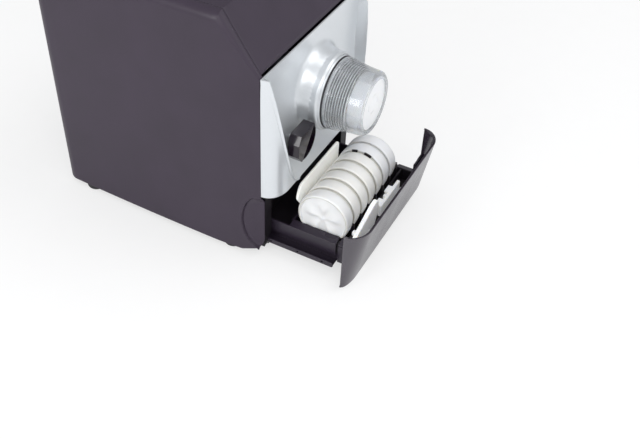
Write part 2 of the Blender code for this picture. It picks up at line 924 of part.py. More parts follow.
def make_bay():
    base = base_top + gap
    low = (-bay_half, bay_front, base)
    bay = box("drawer_bay", low, (bay_half, bay_rear, bay_top), colour=black_plastic)
    inner = box("bay_hollow", (-bay_half + bay_wall, bay_front - cut_over, base - cut_over),
                (bay_half - bay_wall, bay_rear - bay_wall, bay_top - bay_wall))
    cut(bay, inner)
    low = (-bay_lip_half, -bay_lip, bay_top - bay_wall)
    lip = box("bay_lip", low, (bay_lip_half, bay_front + sink, bay_top))
    fuse(bay, lip)
    hold(bay, "machine")
    outer = bay_half - bay_wall - gap
    low = rail_base - runner_clear - runner_wall
    high = rail_top + runner_clear + runner_wall
    slot_low = rail_base - runner_clear
    slot_high = rail_top + runner_clear
    web = outer - runner_wall
    shape = [(runner_inner, low), (outer, low), (outer, high), (runner_inner, high),
             (runner_inner, slot_high), (web, slot_high), (web, slot_low), (runner_inner, slot_low)]
    length = bay_rear - bay_wall - bay_front - 2 * gap
    middle = bay_front + gap + length / 2
    for side, sign in (("left", -1), ("right", 1)):
        loop = [(sign * x, z) for x, z in shape]
        hold(outline(f"runner_{side}", [loop], length, (0, middle, 0), colour=steel, metallic=1.0,
                     roughness=0.35), "machine")


# Nozzle

def forward_turned(name, profile, steps=32, **look):
    return turned(name, profile, (0, 0, shaft_height), steps=steps, **look)


def make_collar():
    inner = thread_radius + gap
    profile = [(collar_radius - gap, collar_front), (collar_radius, collar_front - gap),
               (collar_radius, -collar_back), (inner, -collar_back), (inner, collar_front)]
    collar = forward_turned("barrel_collar", profile, colour=silver, roughness=0.25, metallic=0.7)
    return hold(collar, "machine")


def make_barrel():
    rear = bowl_front - gap
    flange = collar_back + gap
    profile = [
        (thread_radius, barrel_front), (thread_radius, -flange), (flange_radius, -flange),
        (flange_radius, -flange - flange_wall), (barrel_radius, -flange - flange_wall),
        (barrel_radius, -rear), (barrel_bore, -rear), (barrel_bore, barrel_front - mouth_run),
        (barrel_mouth, barrel_front)]
    barrel = forward_turned("extrusion_barrel", profile, colour=white_plastic, roughness=0.35)
    return hold(barrel, "machine")


def make_nut():
    back = collar_front + gap
    die_back = barrel_front + gap
    lip_back = die_back + die_thickness + gap
    front = lip_back + nut_lip_wall
    inner = thread_radius + 2 * gap
    profile = [
        (nut_opening, front), (nut_lip_radius, front), (nut_front_radius, front - nut_shoulder),
        (nut_rear_radius - 2 * nut_lip_wall, back + nut_rim + nut_shoulder / 2),
        (nut_rear_radius, back + nut_rim), (nut_rear_radius, back),
        (inner, back), (inner, die_back), (die_radius + 2 * gap, die_back + nut_shoulder / 2),
        (die_radius + 2 * gap, lip_back), (nut_opening, lip_back)]
    nut = forward_turned("die_nut", profile, steps=32, colour=smoke, roughness=0.05, alpha=0.35)
    return hold(nut, "nut_turn")


# Dies: patterns of holes through round plates

def ring_of_holes(radius, count, size, sides=6):
    turn = 2 * math.pi / count
    return [circle(size, (radius * math.cos(turn * i), radius * math.sin(turn * i)), sides, turn * i)
            for i in range(count)]


def bar(centre, length, width, angle):
    c, s = math.cos(angle), math.sin(angle)
    corners = rectangle(-length / 2, length / 2, -width / 2, width / 2)
    return [(centre[0] + u * c - v * s, centre[1] + u * s + v * c) for u, v in corners]


def arc_slot(radius, width, start, sweep, count=4):
    outer = [(radius + width / 2, start + sweep * i / count) for i in range(count + 1)]
    inner = [(radius - width / 2, start + sweep * i / count) for i in range(count, -1, -1)]
    return [(r * math.cos(a), r * math.sin(a)) for r, a in outer + inner]


hole_small_share = 0.04
hole_wide_share = 0.055
pattern_inner_share = 0.34
pattern_outer_share = 0.62


def die_pattern(kind):
    inner = die_radius * pattern_inner_share
    outer = die_radius * pattern_outer_share
    small = die_radius * hole_small_share
    wide = die_radius * hole_wide_share
    if kind == 0:
        return [arc_slot(outer, wide, math.pi / 3 * i, math.pi / 5, 3) for i in range(6)]
    if kind == 1:
        return ring_of_holes(outer, 9, small, 5) + ring_of_holes(inner, 5, small, 5)
    if kind == 2:
        return [bar((0, inner * (i - 1)), outer, wide, 0) for i in range(3)]
    if kind == 3:
        return ring_of_holes(outer, 8, wide, 4)
    if kind == 4:
        return [bar((0, 0), outer * 2, wide, 0)]
    if kind == 5:
        return [arc_slot(inner, wide, math.pi / 2 * i, math.pi / 3, 3) for i in range(4)]
    if kind == 6:
        return ring_of_holes(outer, 9, wide, 5)
    return [bar((inner * math.cos(math.pi / 2 * i), inner * math.sin(math.pi / 2 * i)), inner, wide,
                math.pi / 2 * i) for i in range(4)]


def make_dies():
    rim = circle(die_radius, count=die_segments)
    place = (0, -(barrel_front + gap + die_thickness / 2), shaft_height)
    fitted = outline("fitted_die", [rim] + die_pattern(stored_die_count), die_thickness, place,
                     colour=white_plastic, roughness=0.4)
    hold(fitted, "nut_turn")
    first = -tray_inner_half + gap + die_thickness / 2
    for i in range(stored_die_count):
        place = (first + die_pitch * i, -die_axis_y, die_centre_z)
        colour = white_plastic if i in (0, stored_die_count - 1) else ivory
        die = outline(f"stored_die_{i + 1}", [rim] + die_pattern(i), die_thickness, place, plane="YZ",
                      colour=colour, roughness=0.4)
        hold(die, "drawer")


# Selector

def knob_arc_points(radius):
    start, end = knob_arc
    turns = [start + (end - start) * i / knob_arc_count for i in range(knob_arc_count + 1)]
    return [(radius * math.cos(a), radius * math.sin(a)) for a in turns]


def make_selector():
    # Round below and to the right, with a raised corner pointing up to the left at the setting.
    front = -knob_back - knob_depth
    rim_front = front + knob_rim_drop
    corner = [(knob_radius * u, knob_radius * v) for u, v in knob_corner_shares]
    depth = -knob_back - rim_front
    place = (knob_x, rim_front + depth / 2, knob_height)
    knob = as_mesh(outline("selector_knob", [knob_arc_points(knob_radius) + corner], depth, place,
                           colour=dark_plastic, roughness=0.35))
    ridge = [(knob_radius * u, knob_radius * v) for u, v in knob_ridge_shares]
    depth = knob_depth - sink
    place = (knob_x, front + depth / 2, knob_height)
    raised = as_mesh(outline("knob_ridge", [ridge], depth, place))
    moat = knob_arc_points(knob_radius - knob_rim)
    place = (knob_x, rim_front + knob_moat / 2 - cut_over / 2, knob_height)
    pocket = as_mesh(outline("knob_moat", [moat], knob_moat + cut_over, place))
    cut(knob, pocket)
    fuse(knob, raised)
    hold(knob, "selector")
    rod_front = -knob_back + gap
    stem = rod("selector_shaft", selector_rod_radius, rod_front, selector_rod_end, knob_x, knob_height,
               colour=steel, metallic=1.0, roughness=0.3)
    hold(stem, "selector")
    low = (knob_x - switch_width / 2, switch_front, knob_height - switch_height / 2)
    high = (knob_x + switch_width / 2, switch_front + switch_depth, knob_height + switch_height / 2)
    switch = box("selector_switch", low, high, colour=black_plastic)
    bush_front = panel_y(knob_x, knob_height) + panel_wall + bushing_gap
    bush_back = switch_front + sink
    fuse(switch, rod("switch_bush", bushing_radius, bush_front, bush_back, knob_x, knob_height))
    cut(switch, rod("switch_bore", selector_rod_radius + gap, bush_front - cut_over, selector_rod_end + gap,
                    knob_x, knob_height))
    return hold(switch, "machine")


# Drawer

def drawer_skin_y(x, z):
    # The skin leans out towards its top rim and turns back round both corners.
    flat = seam_half - front_corner
    rise = (z - front_base) / (front_top - front_base)
    lean = front_bulge_base + (front_bulge_top - front_bulge_base) * rise
    return drawer_y - lean * math.sqrt(1 - clamp((abs(x) - flat) / front_corner) ** 2)


def make_drawer_front():
    flat = seam_half - front_corner
    corner = [flat + front_corner * math.sin(math.pi / 2 * i / 6) for i in range(1, 7)]
    middle = [flat * share for share in (-1, -0.5, 0, 0.5, 1)]
    columns = [-x for x in reversed(corner)] + middle + corner
    heights = [front_base + (front_top - front_base) * i / 3 for i in range(4)]
    rows = [[(x, drawer_skin_y(x, z), z) for x in columns] for z in heights]
    front = sheet("drawer_front", rows, front_wall, colour=dark_plastic, roughness=0.35, metallic=0.2)
    outer = seam_half - front_wall / 2
    for i, sign in enumerate((-1, 1)):
        sides = sorted((sign * web_inner, sign * outer))
        low = (sides[0], drawer_y - front_wall, web_base)
        web = box(f"front_web_{i}", low, (sides[1], drawer_y, web_top))
        fuse(front, web)
    for i, x in enumerate((-boss_x, boss_x)):
        skin = drawer_skin_y(x, boss_height) + front_wall / 2
        boss_end = -tray_front - gap
        fuse(front, rod(f"front_boss_{i}", boss_radius, skin, boss_end, x, boss_height))
        name = f"front_screw_hole_{i}"
        cut(front, rod(name, boss_radius / 2, skin + front_wall, -tray_front, x, boss_height, steps=12))
    return hold(front, "drawer")


def make_screws():
    head = boss_radius
    shank = boss_radius / 2 - gap
    inner = -tray_front + tray_front_wall + gap
    for side, x in (("left", -boss_x), ("right", boss_x)):
        end = -(drawer_skin_y(x, boss_height) + front_wall * 2)
        profile = [(0, end), (shank, end), (shank, -inner), (head, -inner), (head, -inner - shank),
                   (0, -inner - shank)]
        screw = turned(f"drawer_screw_{side}", profile, (x, 0, boss_height), steps=12, colour=steel,
                       metallic=1.0, roughness=0.3)
        hold(screw, "drawer")


def make_tray():
    under = tray_floor - tray_floor_wall
    half = [(tray_half, under), (tray_half, tray_edge_height), (tray_ridge_half, tray_ridge_height),
            (tray_inner_half, tray_ridge_height), (tray_inner_half, tray_floor)]
    length = tray_front + tray_rear
    middle = (tray_rear - tray_front) / 2
    tray = as_mesh(outline("drawer_tray", [mirrored(half)], length, (0, middle, 0), colour=dark_plastic))
    for i, sign in enumerate((-1, 1)):
        leg = sorted((sign * tray_leg_half, sign * rail_root))
        fuse(tray, box(f"tray_leg_{i}", (leg[0], -tray_front + sink, rail_base + sink),
                       (leg[1], tray_rear - sink, under + sink)))
        rail = sorted((sign * (rail_root - sink), sign * rail_half))
        high = (rail[1], tray_rear - 2 * sink, rail_top)
        fuse(tray, box(f"tray_rail_{i}", (rail[0], -rail_front, rail_base), high))
    inner = tray_inner_half + sink
    deep = tray_floor - sink
    walls = (
        ("tray_front_wall", -tray_front + sink, -tray_front + tray_front_wall, tray_ridge_height - sink),
        ("tray_divider", -divider_front, -divider_back, divider_top),
        ("tray_rear_divider", -rear_divider - rear_divider_wall, -rear_divider, divider_top),
        ("tray_rear_wall", tray_rear - tray_front_wall, tray_rear - sink, tray_ridge_height - sink),
    )
    for name, low, high, top in walls:
        fuse(tray, box(name, (-inner, low, deep), (inner, high, top)))
    first = -tray_inner_half + gap + die_thickness
    space = die_pitch - die_thickness
    for i in range(stored_die_count):
        x = first + die_pitch * i + space / 2
        low = (x - post_width / 2, -divider_back - sink, deep)
        high = (x + post_width / 2, -divider_back + post_reach, post_top)
        fuse(tray, box(f"tray_post_{i}", low, high))
    for i, x in enumerate((-boss_x, boss_x)):
        cut(tray, rod(f"tray_screw_hole_{i}", boss_radius / 2, -tray_front - cut_over,
                      -tray_front + tray_front_wall + cut_over, x, boss_height, steps=12))
    return hold(tray, "drawer")


def make_tools():
    base = tray_floor + gap
    loop = round_rectangle(-plate_half, plate_half, 0, plate_top - base, plate_corner, 3)
    place = (plate_x, -plate_front + plate_wall / 2, base)
    hold(outline("scraper_plate", [loop], plate_wall, place, colour=ivory, roughness=0.5), "drawer")
    for name, shares, left, length, height in (
        ("die_key", key_shares, key_left, key_length, key_height),
        ("cleaning_comb", comb_shares, comb_left, comb_length, comb_height),
    ):
        loop = [(length * u, height * v) for u, v in shares]
        place = (left, -tool_front + tool_wall / 2, base)
        hold(outline(name, [loop], tool_wall, place, colour=white_plastic, roughness=0.45), "drawer")


# Bowl and lid

def trough(radius, top, low_extra=0.0):
    # A round-bottomed channel seen along the shaft, open or closed at its top.
    points = [(radius * math.sin(math.pi * (i / 16 - 0.5)), -radius * math.cos(math.pi * (i / 16 - 0.5)))
              for i in range(17)]
    return points + [(radius, top + low_extra), (-radius, top + low_extra)]


def make_bowl():
    top = rim_top - shaft_height
    length = bowl_rear - bowl_front
    middle = (bowl_front + bowl_rear) / 2
    outer = bowl_radius + bowl_wall
    bowl = as_mesh(outline("mixing_bowl", [trough(outer, top)], length, (0, middle, shaft_height),
                           colour=smoke, roughness=0.2, alpha=0.6))
    edge = bowl_rim
    loop = rectangle(-outer - edge, outer + edge, -length / 2, length / 2 + edge)
    rim_place = (0, middle, rim_top - bowl_rim_wall / 2)
    fuse(bowl, as_mesh(outline("bowl_rim", [loop], bowl_rim_wall, rim_place, plane="XY")))
    hollow = as_mesh(outline("bowl_hollow", [trough(bowl_radius, top, cut_over)], length - 2 * bowl_wall,
                             (0, middle, shaft_height)))
    cut(bowl, hollow)
    inside = bowl_front + bowl_wall + cut_over
    cut(bowl, rod("bowl_front_hole", barrel_bore, bowl_front - cut_over, inside, 0, shaft_height,
                  steps=32, spin=cutter_spin))
    inside = bowl_rear - bowl_wall - cut_over
    cut(bowl, rod("bowl_rear_hole", dog_radius + gap, inside, bowl_rear + cut_over, 0, shaft_height,
                  spin=cutter_spin))
    return hold(bowl, "machine")


def make_lid():
    half = bowl_radius + bowl_wall + bowl_rim - lid_margin
    front = bowl_front + lid_margin
    rear = bowl_rear + bowl_rim - lid_margin
    rim = round_rectangle(-half, half, front, rear, lid_skirt)
    slot = rectangle(-slot_half, slot_half, slot_y - slot_run, slot_y + slot_run)
    middle = lid_under + lid_wall / 2
    lid = as_mesh(outline("bowl_lid", [rim, slot], lid_wall, (0, 0, middle), plane="XY", colour=smoke,
                          roughness=0.05, alpha=0.3))
    skirt_half = bowl_radius - lid_skirt_inset
    skirt_front = bowl_front + bowl_wall + lid_skirt_inset
    skirt_rear = bowl_rear - bowl_wall - lid_skirt_inset
    outer = rectangle(-skirt_half, skirt_half, skirt_front, skirt_rear)
    thin = lid_wall
    inner = rectangle(-skirt_half + thin, skirt_half - thin, skirt_front + thin, skirt_rear - thin)
    drop = lid_skirt + sink
    skirt = outline("lid_skirt", [outer, inner], drop, (0, 0, lid_under + sink - drop / 2), plane="XY")
    fuse(lid, as_mesh(skirt))
    fuse(lid, box("lid_handle", (-lid_handle_half, front - lid_handle_reach, lid_under),
                  (lid_handle_half, front + lid_wall, lid_under + lid_wall)))
    fuse(lid, box("lid_tab", (half - lid_wall, plunger_y - tab_half, lid_under),
                  (plunger_x + plunger_radius, plunger_y + tab_half, lid_under + lid_wall)))
    top = lid_under + lid_wall
    knuckle = hinge_pin_radius + pin_clear + lid_wall
    for i, sign in enumerate((-1, 1)):
        near = hinge_x - gap - lug_width / 2
        reach = circle(knuckle, (hinge_y, hinge_z), 12)
        arm = rectangle(rear - lid_wall, hinge_y, lid_under, top)
        lug = as_mesh(outline(f"lid_lug_{i}", [reach], lug_width, (sign * near, 0, 0), plane="YZ"))
        link = as_mesh(outline(f"lid_arm_{i}", [arm], lug_width, (sign * near, 0, 0), plane="YZ"))
        fuse(lid, lug, link)
    reach = hinge_x + ear_width
    cut(lid, cross_rod("lid_bore", hinge_pin_radius + pin_clear, reach, hinge_y, hinge_z))
    hold(lid, "lid")
    pin = cross_rod("lid_hinge_pin", hinge_pin_radius, reach, hinge_y, hinge_z, colour=steel, metallic=1.0,
                    roughness=0.3)
    return hold(pin, "machine")


def make_lid_switch():
    top = lid_under - gap
    low = top - plunger_length
    plunger = post("lid_switch_plunger", plunger_radius, low, top, plunger_x, plunger_y,
                   colour=black_plastic)
    hold(plunger, "plunger")
    under = deck_height - shell_wall - gap
    half = lid_switch_size / 2
    switch = box("lid_switch", (plunger_x - half, plunger_y - half, under - lid_switch_drop),
                 (plunger_x + half, plunger_y + half, under), colour=black_plastic)
    well = low - plunger_travel - gap
    cut(switch, post("lid_switch_well", plunger_radius + gap, well, under + cut_over, plunger_x, plunger_y))
    return hold(switch, "machine")


# Paddle and screw

def make_paddle():
    front = bowl_front + 2 * gap
    back = bowl_rear - bowl_wall - gap
    paddle = rod("mixing_paddle", paddle_rod, front, back, 0, shaft_height, colour=white_plastic)
    inner_front = bowl_front + bowl_wall
    span = bowl_rear - bowl_wall - inner_front
    for i in range(paddle_count):
        y = inner_front + span * (i + 0.5) / paddle_count
        arm = box(f"paddle_arm_{i}", (-paddle_width / 2, y - paddle_thick / 2, 0),
                  (paddle_width / 2, y + paddle_thick / 2, paddle_reach))
        angle = paddle_turn + math.pi / 2 * i
        middle = paddle_reach / 2
        arm.rotation_euler = (0, angle, 0)
        arm.location = (middle * math.sin(angle), y, shaft_height + middle * math.cos(angle))
        fuse(paddle, arm)
    return hold(paddle, "mixer")


def make_auger():
    # One flight: a round core with a lobe, turned step by step along the barrel.
    front = -(barrel_front - end_clear)
    back = bowl_front + gap
    steps = round(auger_turns * 2 * math.pi / auger_step)
    shape = bmesh.new()
    rings = []
    for k in range(steps + 1):
        y = front + (back - front) * k / steps
        turn = auger_step * k
        made = []
        for j in range(auger_points):
            angle = 2 * math.pi * j / auger_points
            lobe = max(0.0, math.cos(angle)) ** 2
            radius = auger_core + (auger_radius - auger_core) * lobe
            across = radius * math.cos(angle + turn)
            made.append(shape.verts.new((across, y, radius * math.sin(angle + turn))))
        rings.append(made)
    for lower, upper in zip(rings, rings[1:]):
        for j in range(auger_points):
            after = (j + 1) % auger_points
            shape.faces.new((lower[j], lower[after], upper[after], upper[j]))
    shape.faces.new(rings[0])
    shape.faces.new(rings[-1])
    bmesh.ops.recalc_face_normals(shape, faces=shape.faces)
    mesh = bpy.data.meshes.new("auger")
    shape.to_mesh(mesh)
    shape.free()
    auger = new_mesh_piece("auger", mesh, colour=white_plastic, roughness=0.4)
    auger.location = (0, 0, shaft_height)
    return hold(auger, "mixer")


# Gears

def involute(angle):
    return math.tan(angle) - angle


def gear_loop(teeth, start):
    # Involute flanks, thinned by the slack so that a pair runs free.
    pitch = gear_module * teeth / 2
    base = pitch * math.cos(pressure_angle)
    tip = pitch + gear_module * tooth_tip_share
    root = pitch - gear_module * tooth_root_share
    half = math.pi / teeth / 2 - tooth_slack / pitch / 2

    def flank(radius):
        turn = math.acos(min(1.0, base / radius))
        return half + involute(pressure_angle) - involute(turn)

    stations = [max(base, root), pitch, tip] if teeth < many_teeth else [root, tip]
    offsets = [flank(r) for r in stations]
    loop = []
    for i in range(teeth):
        middle = start + 2 * math.pi * i / teeth
        points = [(root, -offsets[0])] if root < base else []
        points += [(r, -a) for r, a in zip(stations, offsets)]
        points += [(r, a) for r, a in reversed(list(zip(stations, offsets)))]
        points += [(root, offsets[0])] if root < base else []
        loop += [(r * math.cos(middle + a), r * math.sin(middle + a)) for r, a in points]
    return loop


def make_gear(name, bore, front, height, carrier, teeth, start, colour):
    loops = [gear_loop(teeth, start), circle(bore + gap)]
    place = (0, front + gear_face / 2, height)
    return hold(outline(name, loops, gear_face, place, colour=colour), carrier)


def make_drive():
    first = case_front + case_wall + first_gear_front
    second = first + gear_step
    up, down = math.pi / 2, -math.pi / 2
    half_tooth = math.pi / pinion_teeth
    # The large gears carry a tooth straight up and down, so each pinion meets it with a space.
    large = dict(teeth=gear_teeth, start=down, colour=white_plastic)
    small = dict(teeth=pinion_teeth, start=up + half_tooth, colour=steel)
    make_gear("output_gear", output_radius, first, shaft_height, "mixer", **large)
    make_gear("layshaft_pinion", layshaft_radius, first, layshaft_height, "layshaft", **small)
    make_gear("layshaft_gear", layshaft_radius, second, layshaft_height, "layshaft", **large)
    make_gear("motor_pinion", motor_rod_radius, second, motor_height, "rotor", **small)
    dog = bowl_rear - bowl_wall
    hub = bowl_rear + end_clear
    tail = case_back + case_wall
    profile = [(0, -dog), (dog_radius, -dog), (dog_radius, -hub), (hub_radius, -hub),
               (hub_radius, -hub - hub_length),
               (output_radius, -hub - hub_length), (output_radius, -tail), (0, -tail)]
    output = forward_turned("output_shaft", profile, steps=24, colour=steel, metallic=1.0, roughness=0.3)
    hold(output, "mixer")
    lay = rod("layshaft", layshaft_radius, case_front + gap, tail, 0, layshaft_height, colour=steel,
              metallic=1.0, roughness=0.3)
    hold(lay, "layshaft")


def make_case():
    low, high = case_low, case_top
    case = box("gear_case", (-case_half, case_front, low), (case_half, case_back, high), colour=steel)
    hollow = box("case_hollow", (-case_half + case_wall, case_front + case_wall, low + case_wall),
                 (case_half - case_wall, case_back + cut_over, high - case_wall))
    cut(case, hollow)
    for i, sign in enumerate((-1, 1)):
        sides = sorted((sign * case_leg_inner, sign * case_leg_outer))
        fuse(case, box(f"case_leg_{i}", (sides[0], case_front, base_top + gap),
                       (sides[1], case_front + 2 * case_wall, low + sink)))
    for name, radius, height in (("case_output_hole", output_radius, shaft_height),
                                 ("case_lay_hole", layshaft_radius, layshaft_height)):
        end = case_front + case_wall + cut_over
        cut(case, rod(name, radius + gap, case_front - cut_over, end, 0, height))
    hold(case, "machine")
    rim = rectangle(-case_half, case_half, low, high)
    loops = [rim]
    for radius, height in ((output_radius, shaft_height), (layshaft_radius, layshaft_height),
                           (bearing_radius, motor_height)):
        loops.append(circle(radius + gap, (0, height), 20))
    place = (0, case_back + gap + case_wall / 2, 0)
    hold(outline("gear_cover", loops, case_wall, place, colour=steel, metallic=0.3), "machine")


def make_motor():
    seat = bearing_radius + gap
    inner = motor_radius - motor_wall
    front, back = motor_front, motor_back
    profile = [(motor_radius, -front), (motor_radius, -back), (inner, -back), (inner, -front - motor_plate),
               (seat, -front - motor_plate), (seat, -front)]
    height = motor_height
    shell = turned("motor_housing", profile, (0, 0, height), colour=steel, metallic=0.9, roughness=0.4)
    hold(shell, "machine")
    cap_front = back + gap
    cap = ring("motor_cap", motor_radius, seat, cap_front, cap_front + motor_plate, 0, height, colour=steel,
               metallic=0.9, roughness=0.4)
    hold(cap, "machine")
    middle = (front + motor_plate + back) / 2
    stator = ring("stator", inner - gap, rotor_radius + 2 * gap, middle - stator_length / 2,
                  middle + stator_length / 2, 0, height, colour=brass, metallic=0.6)
    hold(stator, "machine")
    bearing_bore = motor_rod_radius + gap
    rear_seat = cap_front + motor_plate - bearing_width + gap
    for name, start in (("bearing_front", front), ("bearing_rear", rear_seat)):
        end = start + bearing_width
        bearing = ring(name, bearing_radius, bearing_bore, start, end, 0, height, steps=20, colour=steel,
                       metallic=1.0, roughness=0.25)
        hold(bearing, "machine")
    nose = case_front + case_wall + first_gear_front + gear_step - gap
    core_front = middle - stator_length / 2
    core_back = middle + stator_length / 2
    tail = fan_front + fan_width + gap
    thin = motor_rod_radius
    profile = [(0, -nose), (thin, -nose), (thin, -core_front), (rotor_radius, -core_front),
               (rotor_radius, -core_back), (thin, -core_back), (thin, -tail), (0, -tail)]
    hold(turned("rotor", profile, (0, 0, height), steps=28, colour=steel, metallic=1.0), "rotor")
    loop = []
    for i in range(fan_blades):
        start = 2 * math.pi * i / fan_blades
        for radius, share in ((fan_hub, 0), (fan_radius, 0.10), (fan_radius, 0.45), (fan_hub, 0.62)):
            angle = start + 2 * math.pi / fan_blades * share
            loop.append((radius * math.cos(angle), radius * math.sin(angle)))
    fan = outline("cooling_fan", [loop, circle(motor_rod_radius + gap, count=14)], fan_width,
                  (0, fan_front + fan_width / 2, height), colour=black_plastic)
    hold(fan, "rotor")


def make_electrics():
    low = base_top + board_rise + gap
    board = box("control_board", (board_x - board_half, board_y, low),
                (board_x + board_half, board_y + board_length, low + board_wall), colour=green_board)
    top = low + board_wall - sink
    fuse(board, box("board_coil", (board_x - coil_size / 2, board_y + board_rise, top),
                    (board_x + coil_size / 2, board_y + board_rise + coil_size, top + coil_size)))
    hold(board, "machine")
    height = base_top + gap + capacitor_radius
    end = capacitor_y + capacitor_length
    can = rod("capacitor", capacitor_radius, capacitor_y, end, capacitor_x, height, steps=24, colour=steel,
              metallic=0.8)
    hold(can, "machine")
    outer = body_depth + inlet_flange_wall
    face = body_depth + gap
    inner = body_depth - inlet_depth
    profile = [(inlet_bore, -inner), (inlet_radius, -inner), (inlet_radius, -face), (inlet_flange, -face),
               (inlet_flange, -outer), (inlet_bore, -outer)]
    place = (inlet_x, 0, inlet_height)
    hold(turned("cord_inlet", profile, place, steps=24, colour=rubber, roughness=0.8), "machine")


def make_holders():
    root = holder("machine", (0, 0, 0))
    holder("drawer", (0, drawer_y, tray_floor), "machine")
    holder("selector", (knob_x, -knob_back, knob_height), "machine")
    holder("nut_turn", (0, -barrel_front, shaft_height), "machine")
    holder("lid", (0, hinge_y, hinge_z), "machine")
    holder("plunger", (plunger_x, plunger_y, lid_under), "machine")
    holder("mixer", (0, case_front, shaft_height), "machine")
    holder("layshaft", (0, case_front, layshaft_height), "machine")
    holder("rotor", (0, motor_front, motor_height), "machine")
    return root


def main():
    root = make_holders()
    make_side("side_shell_left", -1)
    make_side("side_shell_right", 1)
    make_front_panel()
    make_hood()
    make_rear_cover()
    make_base()
    make_feet()
    make_bay()
    make_collar()
    make_barrel()
    make_nut()
    make_dies()
    make_selector()
    make_drawer_front()
    make_screws()
    make_tray()
    make_tools()
    make_bowl()
    make_lid()
    make_lid_switch()
    make_paddle()
    make_auger()
    make_drive()
    make_case()
    make_motor()
    make_electrics()
    root.location = (0, -mid_y, 0)


main()
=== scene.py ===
import math

import bmesh
import bpy
from mathutils import Matrix, Vector


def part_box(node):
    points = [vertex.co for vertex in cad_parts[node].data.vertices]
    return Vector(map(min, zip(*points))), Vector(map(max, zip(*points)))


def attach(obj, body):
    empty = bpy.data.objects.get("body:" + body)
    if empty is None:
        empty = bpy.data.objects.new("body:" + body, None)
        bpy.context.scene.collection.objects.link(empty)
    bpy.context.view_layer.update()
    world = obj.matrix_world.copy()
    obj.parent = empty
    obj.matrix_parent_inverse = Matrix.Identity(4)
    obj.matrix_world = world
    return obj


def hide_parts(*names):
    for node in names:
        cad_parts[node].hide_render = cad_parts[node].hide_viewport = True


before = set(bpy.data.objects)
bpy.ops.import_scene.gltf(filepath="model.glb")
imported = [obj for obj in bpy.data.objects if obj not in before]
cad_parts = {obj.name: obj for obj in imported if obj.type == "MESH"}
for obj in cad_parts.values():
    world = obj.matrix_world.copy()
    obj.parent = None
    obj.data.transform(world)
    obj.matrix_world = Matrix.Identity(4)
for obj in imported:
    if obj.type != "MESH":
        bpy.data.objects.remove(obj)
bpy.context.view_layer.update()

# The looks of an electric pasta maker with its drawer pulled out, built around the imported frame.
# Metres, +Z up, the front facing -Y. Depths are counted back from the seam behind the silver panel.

scene = bpy.context.scene
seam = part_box("side_shell_left")[0].y
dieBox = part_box("fitted_die")
shaftZ = (dieBox[0].z + dieBox[1].z) / 2
storeAxis = tuple(sum(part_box("stored_die_1"), Vector()) / 2)
print("frame loaded")


# Mesh tools

def meshOf(name, points, faces, sharp=32):
    mesh = bpy.data.meshes.new(name)
    mesh.from_pydata(points, [], faces)
    mesh.validate()
    mesh.shade_smooth()
    mesh.set_sharp_from_angle(angle=math.radians(sharp))
    return mesh


def addPiece(name, mesh, finish, body, nodes=()):
    piece = bpy.data.objects.new(name, mesh)
    scene.collection.objects.link(piece)
    mesh.materials.clear()
    mesh.materials.append(finish)
    even = piece.modifiers.new("evenNormals", "WEIGHTED_NORMAL")
    even.keep_sharp = True
    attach(piece, body)
    if nodes:
        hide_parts(*nodes)
    return piece


def gridFaces(rows, columns, start=0, flip=False):
    faces = []
    for i in range(rows - 1):
        for j in range(columns - 1):
            corner = start + i * columns + j
            face = (corner, corner + 1, corner + columns + 1, corner + columns)
            faces.append(face[::-1] if flip else face)
    return faces


def wallOf(name, outer, inner, flip=False, sharp=32):
    # A closed wall between two grids of points of the same layout.
    count = len(outer)
    width = len(outer[0])
    points = [point for rows in (outer, inner) for row in rows for point in row]
    behind = count * width
    faces = gridFaces(count, width, 0, flip) + gridFaces(count, width, behind, not flip)
    rim = list(range(width)) + [i * width + width - 1 for i in range(1, count)]
    rim += [(count - 1) * width + j for j in range(width - 2, -1, -1)]
    rim += [i * width for i in range(count - 2, 0, -1)]
    for near, far in zip(rim, rim[1:] + rim[:1]):
        face = (far, near, behind + near, behind + far)
        faces.append(face[::-1] if flip else face)
    return meshOf(name, points, faces, sharp)


def filleted(points, radius, steps=4):
    # The same closed outline, each corner turned into a short arc.
    made = []
    count = len(points)
    for i, corner in enumerate(points):
        here = Vector(corner)
        before = Vector(points[i - 1]) - here
        after = Vector(points[(i + 1) % count]) - here
        reach = min(radius, before.length * 0.45, after.length * 0.45)
        start = here + before.normalized() * reach
        end = here + after.normalized() * reach
        for k in range(steps + 1):
            t = k / steps
            made.append(tuple(start * (1 - t) ** 2 + here * 2 * t * (1 - t) + end * t**2))
    return made


def circleOf(radius, centre=(0, 0), count=48, start=0.0):
    turn = 2 * math.pi / count
    return [(centre[0] + radius * math.cos(start + turn * i),
             centre[1] + radius * math.sin(start + turn * i)) for i in range(count)]


def area(loop):
    return sum(a[0] * b[1] - b[0] * a[1] for a, b in zip(loop, loop[1:] + loop[:1])) / 2


planes = {
    "XY": Matrix.Identity(4),
    "XZ": Matrix.Rotation(math.pi / 2, 4, "X"),
    "YZ": Matrix.Rotation(math.pi / 2, 4, "Z") @ Matrix.Rotation(math.pi / 2, 4, "X"),
}


